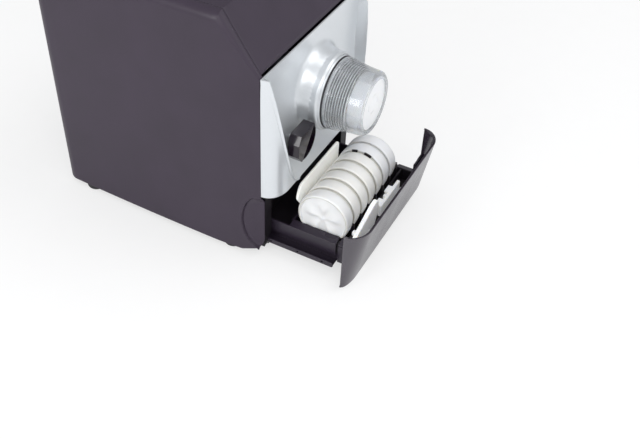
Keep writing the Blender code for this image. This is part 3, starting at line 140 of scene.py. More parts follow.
def slab(name, loops, thickness, place, plane="XZ", edge=0.0004, steps=2, sharp=40):
    # A plate with rounded edges, its first loop the rim and the rest holes, centred on its plane.
    curve = bpy.data.curves.new(name, "CURVE")
    curve.dimensions = "2D"
    curve.fill_mode = "BOTH"
    curve.extrude = thickness / 2 - edge
    curve.bevel_depth = edge
    curve.bevel_resolution = steps
    curve.offset = -edge
    for i, loop in enumerate(loops):
        if (area(loop) > 0) != (i == 0):
            loop = loop[::-1]
        spline = curve.splines.new("POLY")
        spline.points.add(len(loop) - 1)
        for point, (u, v) in zip(spline.points, loop):
            point.co = (u, v, 0, 1)
        spline.use_cyclic_u = True
    guide = bpy.data.objects.new(name, curve)
    scene.collection.objects.link(guide)
    graph = bpy.context.evaluated_depsgraph_get()
    mesh = bpy.data.meshes.new_from_object(guide.evaluated_get(graph))
    bpy.data.objects.remove(guide)
    return tidied(mesh, Matrix.Translation(place) @ planes[plane], sharp)


def tidied(mesh, move=None, sharp=40):
    shape = bmesh.new()
    shape.from_mesh(mesh)
    bmesh.ops.remove_doubles(shape, verts=shape.verts, dist=0.000004)
    bmesh.ops.recalc_face_normals(shape, faces=shape.faces)
    if move:
        bmesh.ops.transform(shape, matrix=move, verts=shape.verts)
    shape.to_mesh(mesh)
    shape.free()
    mesh.shade_smooth()
    mesh.set_sharp_from_angle(angle=math.radians(sharp))
    return mesh


def joined(name, *meshes, sharp=40):
    # Several shapes of one piece, gathered in one mesh.
    shape = bmesh.new()
    for mesh in meshes:
        shape.from_mesh(mesh)
        bpy.data.meshes.remove(mesh)
    whole = bpy.data.meshes.new(name)
    shape.to_mesh(whole)
    shape.free()
    whole.shade_smooth()
    whole.set_sharp_from_angle(angle=math.radians(sharp))
    return whole


def fused(name, first, *others, operation="UNION"):
    # Shapes made one solid by a Boolean, or the others taken out of the first.
    base = bpy.data.objects.new(name, first)
    scene.collection.objects.link(base)
    helpers = []
    for i, mesh in enumerate(others):
        helper = bpy.data.objects.new(f"{name}_{i}", mesh)
        scene.collection.objects.link(helper)
        step = base.modifiers.new(helper.name, "BOOLEAN")
        step.operation = operation
        step.solver = "EXACT"
        step.object = helper
        helpers.append(helper)
    graph = bpy.context.evaluated_depsgraph_get()
    mesh = bpy.data.meshes.new_from_object(base.evaluated_get(graph))
    for helper in [base, *helpers]:
        bpy.data.objects.remove(helper)
    mesh.shade_smooth()
    mesh.set_sharp_from_angle(angle=math.radians(40))
    return mesh


def block(name, low, high, edge=0.0006, steps=2):
    # A bar or box with rounded edges.
    shape = bmesh.new()
    bmesh.ops.create_cube(shape, size=1)
    middle = (Vector(low) + Vector(high)) / 2
    bmesh.ops.scale(shape, vec=Vector(high) - Vector(low), verts=shape.verts)
    bmesh.ops.translate(shape, vec=middle, verts=shape.verts)
    bmesh.ops.bevel(shape, geom=list(shape.edges), offset=edge, segments=steps, affect="EDGES",
                    clamp_overlap=True)
    mesh = bpy.data.meshes.new(name)
    shape.to_mesh(mesh)
    shape.free()
    mesh.shade_smooth()
    mesh.set_sharp_from_angle(angle=math.radians(40))
    return mesh


def turned(name, profile, place, steps=96, along="y", shift=None, sharp=32):
    # A closed profile of (radius, place along the axis) spun about an axis through place.
    points = []
    for i in range(steps):
        turn = 2 * math.pi * i / steps
        for radius, run in profile:
            if shift:
                radius += shift(turn, radius, run)
            if radius < 0.0005:
                radius = 0
            u, v = radius * math.cos(turn), radius * math.sin(turn)
            offset = {"y": (u, run, v), "z": (u, v, run), "x": (run, u, v)}[along]
            points.append(tuple(a + b for a, b in zip(place, offset)))
    count = len(profile)
    faces = []
    for i in range(steps):
        for j in range(count):
            after = (j + 1) % count
            following = (i + 1) % steps
            faces.append((i * count + j, i * count + after, following * count + after,
                          following * count + j))
    mesh = meshOf(name, points, faces, sharp)
    return tidied(mesh, sharp=sharp)


# Finishes

def newFinish(name, colour, roughness, metallic=0.0):
    made = bpy.data.materials.new(name)
    made.use_nodes = True
    shader = made.node_tree.nodes["Principled BSDF"]
    shader.inputs["Base Color"].default_value = (*colour, 1)
    shader.inputs["Roughness"].default_value = roughness
    shader.inputs["Metallic"].default_value = metallic
    return made, made.node_tree.nodes, made.node_tree.links, shader


def noiseOn(nodes, links, scale, detail=3.0, stretch=(1, 1, 1)):
    place = nodes.new("ShaderNodeTexCoord")
    mapping = nodes.new("ShaderNodeMapping")
    mapping.inputs["Scale"].default_value = stretch
    links.new(place.outputs["Object"], mapping.inputs["Vector"])
    noise = nodes.new("ShaderNodeTexNoise")
    noise.inputs["Scale"].default_value = scale
    noise.inputs["Detail"].default_value = detail
    links.new(mapping.outputs["Vector"], noise.inputs["Vector"])
    return noise


def tint(nodes, links, source, socket, low, high, start=0.3, end=0.7):
    # Runs a texture between two colours.
    ramp = nodes.new("ShaderNodeValToRGB")
    ramp.color_ramp.elements[0].position = start
    ramp.color_ramp.elements[1].position = end
    ramp.color_ramp.elements[0].color = (*low, 1)
    ramp.color_ramp.elements[1].color = (*high, 1)
    links.new(source, ramp.inputs["Fac"])
    links.new(ramp.outputs["Color"], socket)
    return ramp


def vary(nodes, links, source, socket, low, high):
    # Runs a texture between two values.
    spread = nodes.new("ShaderNodeMapRange")
    spread.inputs["From Min"].default_value = 0.25
    spread.inputs["From Max"].default_value = 0.75
    spread.inputs["To Min"].default_value = low
    spread.inputs["To Max"].default_value = high
    links.new(source, spread.inputs["Value"])
    links.new(spread.outputs["Result"], socket)
    return spread


def bumpBy(nodes, links, source, shader, strength, distance):
    bump = nodes.new("ShaderNodeBump")
    bump.inputs["Strength"].default_value = strength
    bump.inputs["Distance"].default_value = distance
    links.new(source, bump.inputs["Height"])
    links.new(bump.outputs["Normal"], shader.inputs["Normal"])
    return bump


def shade(colour, factor):
    return tuple(min(1.0, part * factor) for part in colour)


def grainedPlastic(name, colour, roughness, grain=1500, depth=0.00004, spread=0.10, strength=0.30,
                   shine=0.34):
    # Moulded plastic with a spark-eroded grain, and a soft cloudiness where hands have polished it.
    made, nodes, links, shader = newFinish(name, colour, roughness)
    fine = noiseOn(nodes, links, grain, 2.0)
    cloud = noiseOn(nodes, links, 22, 4.0)
    tint(nodes, links, cloud.outputs["Fac"], shader.inputs["Base Color"],
         shade(colour, 1 - spread), shade(colour, 1 + spread))
    vary(nodes, links, cloud.outputs["Fac"], shader.inputs["Roughness"], roughness - 0.05,
         roughness + 0.06)
    bumpBy(nodes, links, fine.outputs["Fac"], shader, strength, depth)
    shader.inputs["Specular IOR Level"].default_value = shine
    return made


def silverPaint(name, colour):
    # Metallic lacquer over plastic: a fine flake below a clear coat.
    made, nodes, links, shader = newFinish(name, colour, 0.31, 0.50)
    flake = nodes.new("ShaderNodeTexVoronoi")
    flake.inputs["Scale"].default_value = 2600
    place = nodes.new("ShaderNodeTexCoord")
    links.new(place.outputs["Object"], flake.inputs["Vector"])
    cloud = noiseOn(nodes, links, 30, 3.0)
    tint(nodes, links, flake.outputs["Distance"], shader.inputs["Base Color"], shade(colour, 1.05),
         shade(colour, 0.93), 0.1, 0.9)
    vary(nodes, links, cloud.outputs["Fac"], shader.inputs["Roughness"], 0.28, 0.34)
    bumpBy(nodes, links, flake.outputs["Distance"], shader, 0.10, 0.00002)
    shader.inputs["Coat Weight"].default_value = 0.25
    shader.inputs["Coat Roughness"].default_value = 0.16
    return made


def milkyPlastic(name, colour, roughness, glow=0.25, warm=(0.97, 0.95, 0.88), paintedGlow=0.0):
    # Food-safe acetal: slightly translucent, waxy, with faint flow marks. Thin pieces pass some light on through the
    # subsurface; paintedGlow adds an emission, painted light that brightens pieces sitting in shade.
    made, nodes, links, shader = newFinish(name, colour, roughness)
    flow = noiseOn(nodes, links, 34, 5.0, (1, 1, 2.5))
    fine = noiseOn(nodes, links, 1100, 2.0)
    tint(nodes, links, flow.outputs["Fac"], shader.inputs["Base Color"],
         tuple(a * b for a, b in zip(colour, warm)), colour, 0.25, 0.6)
    vary(nodes, links, flow.outputs["Fac"], shader.inputs["Roughness"], roughness - 0.06,
         roughness + 0.06)
    bumpBy(nodes, links, fine.outputs["Fac"], shader, 0.25, 0.00003)
    shader.inputs["Subsurface Weight"].default_value = glow
    shader.inputs["Subsurface Radius"].default_value = (0.004, 0.0036, 0.003)
    shader.inputs["Subsurface Scale"].default_value = 1.0
    # Painted light: an emission glow in the plastic's own colour.
    shader.inputs["Emission Color"].default_value = (*colour, 1)
    shader.inputs["Emission Strength"].default_value = paintedGlow
    return made


def reachFrom(nodes, links, axis, across, low, high):
    # How far a point lies from an axis, as a share between two radii.
    place = nodes.new("ShaderNodeTexCoord")
    centred = nodes.new("ShaderNodeVectorMath")
    centred.operation = "SUBTRACT"
    centred.inputs[1].default_value = axis
    flat = nodes.new("ShaderNodeVectorMath")
    flat.operation = "MULTIPLY"
    flat.inputs[1].default_value = across
    reach = nodes.new("ShaderNodeVectorMath")
    reach.operation = "LENGTH"
    links.new(place.outputs["Object"], centred.inputs[0])
    links.new(centred.outputs["Vector"], flat.inputs[0])
    links.new(flat.outputs["Vector"], reach.inputs[0])
    share = nodes.new("ShaderNodeMapRange")
    share.inputs["From Min"].default_value = low
    share.inputs["From Max"].default_value = high
    links.new(reach.outputs["Value"], share.inputs["Value"])
    return share.outputs["Result"]


def grooveShadedPlastic(name, colour, groove, axis, low, high):
    # Acetal whose rim darkens to beige towards the grooves between the discs: painted shade, the groove colour
    # standing in for the shade that falls between the discs.
    made, nodes, links, shader = newFinish(name, colour, 0.35)
    # Painted shade: the rim fades from its own colour to the groove colour as the radius drops into the gap between
    # discs.
    depth = reachFrom(nodes, links, axis, (0, 1, 1), low, high)
    ramp = tint(nodes, links, depth, shader.inputs["Base Color"], groove, colour, 0.25, 0.85)
    face = ramp.color_ramp.elements.new(0.0)
    face.color = (*colour, 1)
    ramp.color_ramp.elements.new(0.12).color = (*groove, 1)
    flow = noiseOn(nodes, links, 34, 5.0, (1, 1, 2.5))
    vary(nodes, links, flow.outputs["Fac"], shader.inputs["Roughness"], 0.29, 0.41)
    fine = noiseOn(nodes, links, 1100, 2.0)
    bumpBy(nodes, links, fine.outputs["Fac"], shader, 0.25, 0.00003)
    shader.inputs["Subsurface Weight"].default_value = 0.3
    shader.inputs["Subsurface Radius"].default_value = (0.004, 0.0036, 0.003)
    shader.inputs["Subsurface Scale"].default_value = 1.0
    return made


def threadRootShadedPlastic(name, colour, axis, crest, root):
    # White plastic whose thread darkens towards its root: painted shade in the thread's root.
    made, nodes, links, shader = newFinish(name, colour, 0.3)
    depth = reachFrom(nodes, links, axis, (1, 0, 1), root, crest)
    # Painted shade: near black at the thread's root, full colour at its crest.
    tint(nodes, links, depth, shader.inputs["Base Color"], (0.03, 0.03, 0.035), colour,
         0.35, 0.75)
    grain = noiseOn(nodes, links, 900, 2.0)
    bumpBy(nodes, links, grain.outputs["Fac"], shader, 0.2, 0.00002)
    return made


def clearPlastic(name, tone, roughness, wear=0.05, straight=0.5):
    # Clear polycarbonate with faint scuffs; a share of the light passes straight through.
    made, nodes, links, shader = newFinish(name, tone, roughness)
    scuff = noiseOn(nodes, links, 160, 6.0, (1, 4, 1))
    vary(nodes, links, scuff.outputs["Fac"], shader.inputs["Roughness"], roughness, roughness + wear)
    tint(nodes, links, scuff.outputs["Fac"], shader.inputs["Base Color"], shade(tone, 0.97), tone)
    shader.inputs["Transmission Weight"].default_value = 1.0
    shader.inputs["IOR"].default_value = 1.53
    through = nodes.new("ShaderNodeBsdfTransparent")
    through.inputs["Color"].default_value = (*shade(tone, 0.97), 1)
    mix = nodes.new("ShaderNodeMixShader")
    mix.inputs["Fac"].default_value = straight
    links.new(shader.outputs["BSDF"], mix.inputs[1])
    links.new(through.outputs["BSDF"], mix.inputs[2])
    links.new(mix.outputs["Shader"], nodes["Material Output"].inputs["Surface"])
    return made


def drawnSteel(name, colour, stretch=(1, 14, 1), roughness=0.28):
    # Bright steel with fine lines along its drawing direction.
    made, nodes, links, shader = newFinish(name, colour, roughness, 1.0)
    lines = noiseOn(nodes, links, 420, 4.0, stretch)
    tint(nodes, links, lines.outputs["Fac"], shader.inputs["Base Color"], shade(colour, 0.82),
         shade(colour, 1.12))
    vary(nodes, links, lines.outputs["Fac"], shader.inputs["Roughness"], roughness - 0.08,
         roughness + 0.10)
    bumpBy(nodes, links, lines.outputs["Fac"], shader, 0.15, 0.00002)
    return made


def copperWinding(name):
    # Enamelled wire: bands round the stator.
    colour = (0.55, 0.25, 0.08)
    made, nodes, links, shader = newFinish(name, colour, 0.35, 0.9)
    place = nodes.new("ShaderNodeTexCoord")
    wire = nodes.new("ShaderNodeTexWave")
    wire.inputs["Scale"].default_value = 700
    wire.inputs["Distortion"].default_value = 1.2
    links.new(place.outputs["Object"], wire.inputs["Vector"])
    tint(nodes, links, wire.outputs["Fac"], shader.inputs["Base Color"], shade(colour, 0.45), colour)
    bumpBy(nodes, links, wire.outputs["Fac"], shader, 0.6, 0.0002)
    return made


def softRubber(name):
    made, nodes, links, shader = newFinish(name, (0.022, 0.021, 0.023), 0.75)
    pores = noiseOn(nodes, links, 900, 3.0)
    tint(nodes, links, pores.outputs["Fac"], shader.inputs["Base Color"], (0.014, 0.013, 0.015),
         (0.032, 0.030, 0.033))
    vary(nodes, links, pores.outputs["Fac"], shader.inputs["Roughness"], 0.65, 0.9)
    bumpBy(nodes, links, pores.outputs["Fac"], shader, 0.4, 0.00006)
    return made


def boardLacquer(name):
    # Green solder mask with traces showing through.
    made, nodes, links, shader = newFinish(name, (0.02, 0.14, 0.05), 0.32)
    place = nodes.new("ShaderNodeTexCoord")
    traces = nodes.new("ShaderNodeTexBrick")
    traces.inputs["Scale"].default_value = 320
    traces.inputs["Color1"].default_value = (0.02, 0.13, 0.05, 1)
    traces.inputs["Color2"].default_value = (0.03, 0.17, 0.06, 1)
    traces.inputs["Mortar"].default_value = (0.07, 0.28, 0.10, 1)
    traces.inputs["Mortar Size"].default_value = 0.04
    links.new(place.outputs["Object"], traces.inputs["Vector"])
    links.new(traces.outputs["Color"], shader.inputs["Base Color"])
    bumpBy(nodes, links, traces.outputs["Fac"], shader, 0.3, 0.00005)
    return made


finishes = {
    "shell": grainedPlastic("plumShellPlastic", (0.036, 0.026, 0.042), 0.42),
    "drawer": grainedPlastic("plumDrawerPlastic", (0.024, 0.018, 0.029), 0.30, grain=1900, strength=0.2,
                             shine=0.40),
    "front": grainedPlastic("drawerFrontPlastic", (0.036, 0.028, 0.041), 0.22, grain=1900, strength=0.15,
                            shine=1.0),
    "knob": grainedPlastic("knobPlastic", (0.008, 0.004, 0.009), 0.15, grain=2200, strength=0.10, shine=0.52),
    # Black plastic of the truly black parts; also used as painted shade inside the tray and in the gap between two
    # discs.
    "black": grainedPlastic("blackPlasticAndPaintedShade", (0.008, 0.006, 0.009), 0.5),
    "silver": silverPaint("silverPanelPaint", (0.66, 0.685, 0.71)),
    # The second colour of each die plastic is painted shade for the grooves between the discs.
    "ivory": grooveShadedPlastic("ivoryDiePlastic", (0.79, 0.785, 0.765), (0.56, 0.545, 0.49), storeAxis, 0.0272,
                            0.0300),
    # The plate glows a little: painted light that brightens it where it sits in shade.
    "plate": milkyPlastic("ivoryPlatePlastic", (0.88, 0.875, 0.84), 0.36, 0.40, (0.985, 0.98, 0.965), 0.14),
    "white": milkyPlastic("coolWhitePlastic", (0.80, 0.805, 0.815), 0.34, 0.35, (0.98, 0.98, 0.97)),
    "cool": grooveShadedPlastic("coolDiePlastic", (0.76, 0.765, 0.78), (0.57, 0.57, 0.56), storeAxis, 0.0272,
                           0.0300),
    "pale": grooveShadedPlastic("paleDiePlastic", (0.77, 0.775, 0.78), (0.57, 0.56, 0.52), storeAxis, 0.0272,
                           0.0300),
    # The tools glow a little: painted light that brightens them where they sit in the drawer front's shade.
    "tool": milkyPlastic("clearWhiteToolPlastic", (0.90, 0.905, 0.91), 0.30, 0.6, (0.98, 0.99, 1.0), 0.20),
    "frost": milkyPlastic("frostedDiePlastic", (0.84, 0.845, 0.855), 0.40, 0.4, (0.98, 0.99, 1.0)),
    # The barrel's thread carries painted shade in its root.
    "thread": threadRootShadedPlastic("threadedBarrelPlastic", (0.84, 0.85, 0.86), (0, 0, shaftZ), 0.0318, 0.0305),
    "clear": clearPlastic("clearNutPlastic", (0.93, 0.94, 0.95), 0.04, straight=0.50),
    "smoked": clearPlastic("smokedBowlPlastic", (0.80, 0.83, 0.85), 0.06, 0.08),
    "lid": clearPlastic("clearLidPlastic", (0.93, 0.95, 0.97), 0.03),
    "steel": drawnSteel("drawnSteel", (0.56, 0.56, 0.58)),
    "cast": drawnSteel("castHousingMetal", (0.42, 0.42, 0.43), (3, 3, 3), 0.42),
    "winding": copperWinding("copperWinding"),
    "rubber": softRubber("softRubber"),
    "board": boardLacquer("boardLacquer"),
}
print("finishes mixed")


# Camera, stage and lights

view = {
    "place": (-0.6902, -0.4280, 0.6916),
    "heading": -64.228,  # degrees, 0 looks along +Y
    "fall": 42.757,
    "roll": 3.080,
    "lens": 49.5,
}


def makeCamera():
    camera = bpy.data.cameras.new("photoView")
    camera.lens = view["lens"]
    camera.sensor_width = 36
    camera.clip_start = 0.01
    camera.clip_end = 20
    made = bpy.data.objects.new("photoView", camera)
    scene.collection.objects.link(made)
    turn = Matrix.Rotation(math.radians(view["heading"]), 4, "Z")
    dip = Matrix.Rotation(math.radians(90 - view["fall"]), 4, "X")
    lean = Matrix.Rotation(math.radians(view["roll"]), 4, "Z")
    made.matrix_world = Matrix.Translation(view["place"]) @ turn @ dip @ lean
    scene.camera = made


stage = {"half": 3.0, "colour": (0.93, 0.93, 0.93), "thinning": 0.60, "drop": 0.0002}


def paleFloor():
    # A pale sweep whose shadow is thinned for the camera.
    made = bpy.data.materials.new("paleFloor")
    made.use_nodes = True
    nodes, links = made.node_tree.nodes, made.node_tree.links
    shader = nodes["Principled BSDF"]
    grain = noiseOn(nodes, links, 40, 3.0)
    tint(nodes, links, grain.outputs["Fac"], shader.inputs["Base Color"], shade(stage["colour"], 0.985),
         stage["colour"])
    shader.inputs["Roughness"].default_value = 0.9
    shader.inputs["Specular IOR Level"].default_value = 0.1
    path = nodes.new("ShaderNodeLightPath")
    thin = nodes.new("ShaderNodeMath")
    thin.operation = "MULTIPLY"
    thin.inputs[1].default_value = stage["thinning"]
    links.new(path.outputs["Is Camera Ray"], thin.inputs[0])
    glow = nodes.new("ShaderNodeEmission")
    mix = nodes.new("ShaderNodeMixShader")
    links.new(thin.outputs["Value"], mix.inputs["Fac"])
    links.new(shader.outputs["BSDF"], mix.inputs[1])
    links.new(glow.outputs["Emission"], mix.inputs[2])
    links.new(mix.outputs["Shader"], nodes["Material Output"].inputs["Surface"])
    return made


def makeStage():
    half = stage["half"]
    count = 12
    steps = [-half + 2 * half * i / count for i in range(count + 1)]
    points = [(x, y, 0) for y in steps for x in steps]
    mesh = meshOf("paleFloor", points, gridFaces(count + 1, count + 1))
    floor = bpy.data.objects.new("paleFloor", mesh)
    scene.collection.objects.link(floor)
    mesh.materials.append(paleFloor())
    floor.location.z = -stage["drop"]


lamps = (
    # name, place, aim, width, height, watts
    ("keyLamp", (-1.1, -0.9, 1.5), (0, 0, 0.12), 1.0, 1.0, 7.4),
    ("fillLamp", (0.6, -1.5, 1.1), (0, -0.1, 0.12), 1.2, 1.2, 3.5),
    ("topLamp", (0.5, -0.7, 1.8), (0, -0.05, 0.15), 1.2, 1.2, 6.6),
    ("sideLamp", (-1.34, 0.26, 0.76), (-0.05, -0.12, 0.16), 0.62, 0.62, 6.8),
)


def makeLamps():
    for name, place, aim, width, height, watts in lamps:
        lamp = bpy.data.lights.new(name, "AREA")
        lamp.shape = "ELLIPSE"
        lamp.size = width
        lamp.size_y = height
        lamp.energy = watts
        made = bpy.data.objects.new(name, lamp)
        scene.collection.objects.link(made)
        made.location = place
        made.rotation_euler = (Vector(aim) - Vector(place)).to_track_quat("-Z", "Y").to_euler()


room = {
    # A studio brighter towards the left and front than towards the right and back.
    "bright": (-0.62, -0.60, 0.25),
    "low": (0.36, 0.365, 0.38),
    "high": (0.86, 0.87, 0.88),
}


def makeWorld():
    world = bpy.data.worlds.new("paleStudio")
    scene.world = world
    world.use_nodes = True
    nodes, links = world.node_tree.nodes, world.node_tree.links
    back = nodes["Background"]
    back.inputs["Strength"].default_value = 1.0
    towards = nodes.new("ShaderNodeTexCoord")
    facing = nodes.new("ShaderNodeVectorMath")
    facing.operation = "DOT_PRODUCT"
    facing.inputs[1].default_value = Vector(room["bright"]).normalized()
    links.new(towards.outputs["Generated"], facing.inputs[0])
    spread = nodes.new("ShaderNodeMapRange")
    spread.inputs["From Min"].default_value = -1
    spread.interpolation_type = "SMOOTHSTEP"
    links.new(facing.outputs["Value"], spread.inputs["Value"])
    tone = nodes.new("ShaderNodeMix")
    tone.data_type = "RGBA"
    tone.inputs["A"].default_value = (*room["low"], 1)
    tone.inputs["B"].default_value = (*room["high"], 1)
    links.new(spread.outputs["Result"], tone.inputs["Factor"])
    path = nodes.new("ShaderNodeLightPath")
    mix = nodes.new("ShaderNodeMix")
    mix.data_type = "RGBA"
    mix.inputs["B"].default_value = (1, 1, 1, 1)
    links.new(tone.outputs["Result"], mix.inputs["A"])
    links.new(path.outputs["Is Camera Ray"], mix.inputs["Factor"])
    links.new(mix.outputs["Result"], back.inputs["Color"])


makeCamera()
makeStage()
makeLamps()
makeWorld()
scene.view_settings.view_transform = "Standard"
print("camera, floor and lamps set")


# Dark housing: side shells, hood and rear cover

shell = {
    "seamHalf": 0.1058,
    "bellyOut": 0.0050,
    "belly": 0.060,
    "taper": 0.0045,
    "depth": 0.268,
    "rearRound": 0.016,
    "foot": 0.008,
    "seamTop": 0.235,
    "deck": 0.292,
    "hoodRun": 0.042,
    "topRound": 0.010,
    "frontRoundShare": 0.32,
    "wall": 0.0026,
    "rim": 0.0012,
    "frontRoll": 0.0011,
}
scoop = {"z": 0.0520, "half": 0.0370, "run": 0.0225, "depth": 0.0072, "step": 0.0016, "edge": 0.0011,
         "groove": 0.0010, "grooveAt": 0.0008, "grooveHalf": 0.00045, "fadeFrom": 0.30, "fadeRun": 0.30,
         "topRun": 0.014}
footCorner = {"rise": 0.0084, "run": 0.0225, "roundRise": 0.0060, "roundRun": 0.0032, "baseSet": 0.0004}


def clamp(value):
    return max(0.0, min(1.0, value))


def arcDrop(share):
    return 1 - math.sqrt(1 - clamp(share) ** 2)


def edgeRound(y):
    share = shell["frontRoundShare"]
    return shell["topRound"] * (share + (1 - share) * clamp(y / shell["hoodRun"]))


def shellTop(y):
    rise = (shell["deck"] - shell["seamTop"]) * clamp(y / shell["hoodRun"])
    drop = shell["topRound"] * arcDrop((y - shell["depth"] + shell["topRound"]) / shell["topRound"])
    return shell["seamTop"] + rise - drop


def easeIn(share):
    share = clamp(share)
    return share * share * (3 - 2 * share)


def scoopDrop(y, z):
    # A finger scoop at the front edge, its rim a thin line that fades at both ends.
    height = (z - scoop["z"]) / scoop["half"]
    if abs(height) >= 1:
        return 0
    lean = math.sqrt(1 - height * height)
    inside = scoop["run"] * lean - y
    if inside <= 0:
        return 0
    fade = easeIn((lean - scoop["fadeFrom"]) / scoop["fadeRun"]) if height > 0 else 1
    top = easeIn((scoop["z"] + scoop["half"] - z) / scoop["topRun"])
    drop = scoop["step"] * fade * easeIn(inside / scoop["edge"])
    drop += (scoop["depth"] - scoop["step"] * fade) * top * inside / (scoop["run"] * lean)
    return drop + scoop["groove"] * fade * math.exp(-(((inside - scoop["grooveAt"]) / scoop["grooveHalf"]) ** 2))


def shellX(y, z):
    ahead = clamp(1 - y / shell["belly"])
    behind = clamp((y - shell["belly"]) / (shell["depth"] - shell["belly"]))
    x = shell["seamHalf"] + shell["bellyOut"] * (1 - ahead**2) - shell["taper"] * behind**2
    x -= shell["rearRound"] * arcDrop((y - shell["depth"] + shell["rearRound"]) / shell["rearRound"])
    x -= edgeRound(y) * arcDrop((z - shellTop(y) + edgeRound(y)) / edgeRound(y))
    x -= scoopDrop(y, z)
    x -= shell["frontRoll"] * arcDrop(1 - y / shell["frontRoll"])
    return x


def shellStations():
    flat = shell["depth"] - shell["rearRound"]
    fine = scoop["run"] + 0.001
    roll = shell["frontRoll"]
    stations = [roll * share for share in (0, 0.08, 0.3, 0.6)]
    stations += [roll + (fine - roll) * i / 60 for i in range(60)]
    stations += [fine + (flat - fine) * (i / 30) ** 1.25 for i in range(31)]
    stations += [flat + shell["rearRound"] * math.sin(math.pi / 2 * i / 8) for i in range(1, 9)]
    return stations


def shellRows(y):
    flat = shellTop(y) - edgeRound(y)
    low = scoop["z"] + scoop["half"] + 0.003
    foot = shell["foot"] + footCorner["rise"] * clamp(1 - y / footCorner["run"])
    foot += footCorner["roundRise"] * clamp(1 - y / footCorner["roundRun"]) ** 2
    rows = [foot + (low - foot) * i / 96 for i in range(96)]
    rows += [low + (flat - low) * i / 24 for i in range(25)]
    return rows + [flat + edgeRound(y) * math.sin(math.pi / 2 * i / 7) for i in range(1, 8)]


def makeSideShells():
    for name, sign in (("left", -1), ("right", 1)):
        rows = []
        for y in shellStations():
            top = shellTop(y)
            row = [(sign * shellX(y, z), seam + y, z) for z in shellRows(y)]
            row.append((sign * (shellX(y, top) - shell["rim"]), seam + y, top))
            rows.append(row)
        mesh = meshOf(f"sideShell_{name}", [point for row in rows for point in row],
                      gridFaces(len(rows), len(rows[0]), 0, sign > 0), 40)
        piece = addPiece(f"sideShell_{name}", mesh, finishes["shell"], "body",
                         (f"side_shell_{name}",))
        wall = piece.modifiers.new("wall", "SOLIDIFY")
        wall.thickness = shell["wall"]
        wall.offset = -1
        wall.use_quality_normals = True


flange = {"inner": 0.0832, "outer": 0.0965, "low": 0.0216, "high": 0.0885, "depth": 0.0012,
          "legInner": 0.0922, "legLow": 0.0215}


def makeReturnFlanges():
    # The upright strip between each shell's front edge and the drawer's bay, notched for the rail.
    for name, sign in (("left", -1), ("right", 1)):
        near = seam + 0.0001
        shapes = []
        for inner, low, high in ((flange["inner"], flange["low"], flange["high"]),
                                 (flange["legInner"], flange["legLow"] - 0.0075, flange["low"] + 0.0004)):
            sides = sorted((sign * inner, sign * flange["outer"]))
            shapes.append(block("returnFlange", (sides[0], near, low), (sides[1], near + flange["depth"], high),
                                0.0003))
        addPiece(f"returnFlange_{name}", joined(f"returnFlange_{name}", *shapes), finishes["black"], "body")


def makeBase():
    # The frame's own base plate, its front corners cut back along the shells' raised corners.
    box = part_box("base_plate")
    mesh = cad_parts["base_plate"].data.copy()
    rise = footCorner["rise"] + footCorner["baseSet"]
    cuts = []
    for sign in (-1, 1):
        loop = [(box[0].y - 0.002, box[0].z - 0.002), (box[0].y + footCorner["run"], box[0].z - 0.002),
                (box[0].y + footCorner["run"], box[0].z), (box[0].y - 0.002, box[0].z + rise)]
        place = (sign * (box[1].x - 0.008), 0, 0)
        cuts.append(slab("baseCorner", [loop], 0.024, place, "YZ", 0.0001))
    addPiece("basePlate", fused("basePlate", mesh, *cuts, operation="DIFFERENCE"), finishes["black"], "body",
             ("base_plate",))


makeSideShells()
makeReturnFlanges()
makeBase()
print("side shells and base built")


# Selector knob's sizes, which the panel's recess follows

knob = {
    "x": -0.061,
    "z": 0.1435,
    "radius": 0.0208,
    "back": 0.0166,
    "front": 0.0297,
    "rimDrop": 0.0024,
    "rim": 0.0013,
    "moat": 0.0060,
    "from": math.radians(52),
    "to": math.radians(-132),
    "corners": ((-0.945, -0.37), (-0.945, 0.34), (-0.70, 0.77)),
    "ridgeTop": (0.44, 0.88),
    "ridgeLow": (-0.62, -0.78),
}


# Silver front panel

panel = {
    "base": 0.091,
    "topGap": 0.0008,
    "bulge": 0.019,
    "corner": 0.024,
    "wall": 0.0025,
    "creaseLow": 0.060,
    "creaseShare": 0.48,
    "creaseInset": 0.0016,
    "lip": 0.0010,
    "lipRun": 0.003,
    "groove": 0.0008,
    "grooveRun": 0.0007,
    "grooveSet": 0.0013,
    "rib": 0.0007,
    "ribSet": 0.0002,
    "recess": 0.020,
    "recessRise": 0.070,
    "recessLowRun": 0.010,
    "recessEnd": 0.0018,
    "soft": 0.004,
}
sleeve = {"radius": 0.0419, "bore": 0.0403, "front": 0.028, "root": 0.058, "steep": 4.2}


def creaseX(z):
    share = clamp((z - panel["base"]) / (shell["seamTop"] - panel["base"]))
    reach = shell["seamHalf"] - panel["creaseInset"] - panel["creaseLow"]
    return panel["creaseLow"] + reach * share ** panel["creaseShare"]


def recessRun(z):
    share = clamp((z - panel["base"]) / (shell["seamTop"] - panel["base"]))
    near = math.exp(-(((z - knob["z"]) / knob["radius"] / 1.3) ** 4))
    return (panel["recessLowRun"] * (1 - share) + panel["recessEnd"]) * (1 - 0.62 * near)


def sleeveHeight(radius):
    # The skirt that sweeps up from the panel to the sleeve round the nozzle.
    share = clamp((radius - sleeve["radius"]) / (sleeve["root"] - sleeve["radius"]))
    return sleeve["front"] * 0.72 * math.exp(-sleeve["steep"] * share) * (1 - share**3)


def smoothMin(a, b, width):
    share = clamp(0.5 + (b - a) / width / 2)
    return b * (1 - share) + a * share - width * share * (1 - share)


def creaseEdge(inside):
    # A swelling along the crease, with a fine rib and a groove just outside it.
    swell = panel["lip"] * math.exp(-((inside / panel["lipRun"]) ** 2))
    rib = panel["rib"] * math.exp(-(((inside - panel["ribSet"]) / panel["grooveRun"]) ** 2))
    groove = panel["groove"] * math.exp(-(((inside + panel["grooveSet"]) / panel["grooveRun"]) ** 2))
    return swell + rib - groove


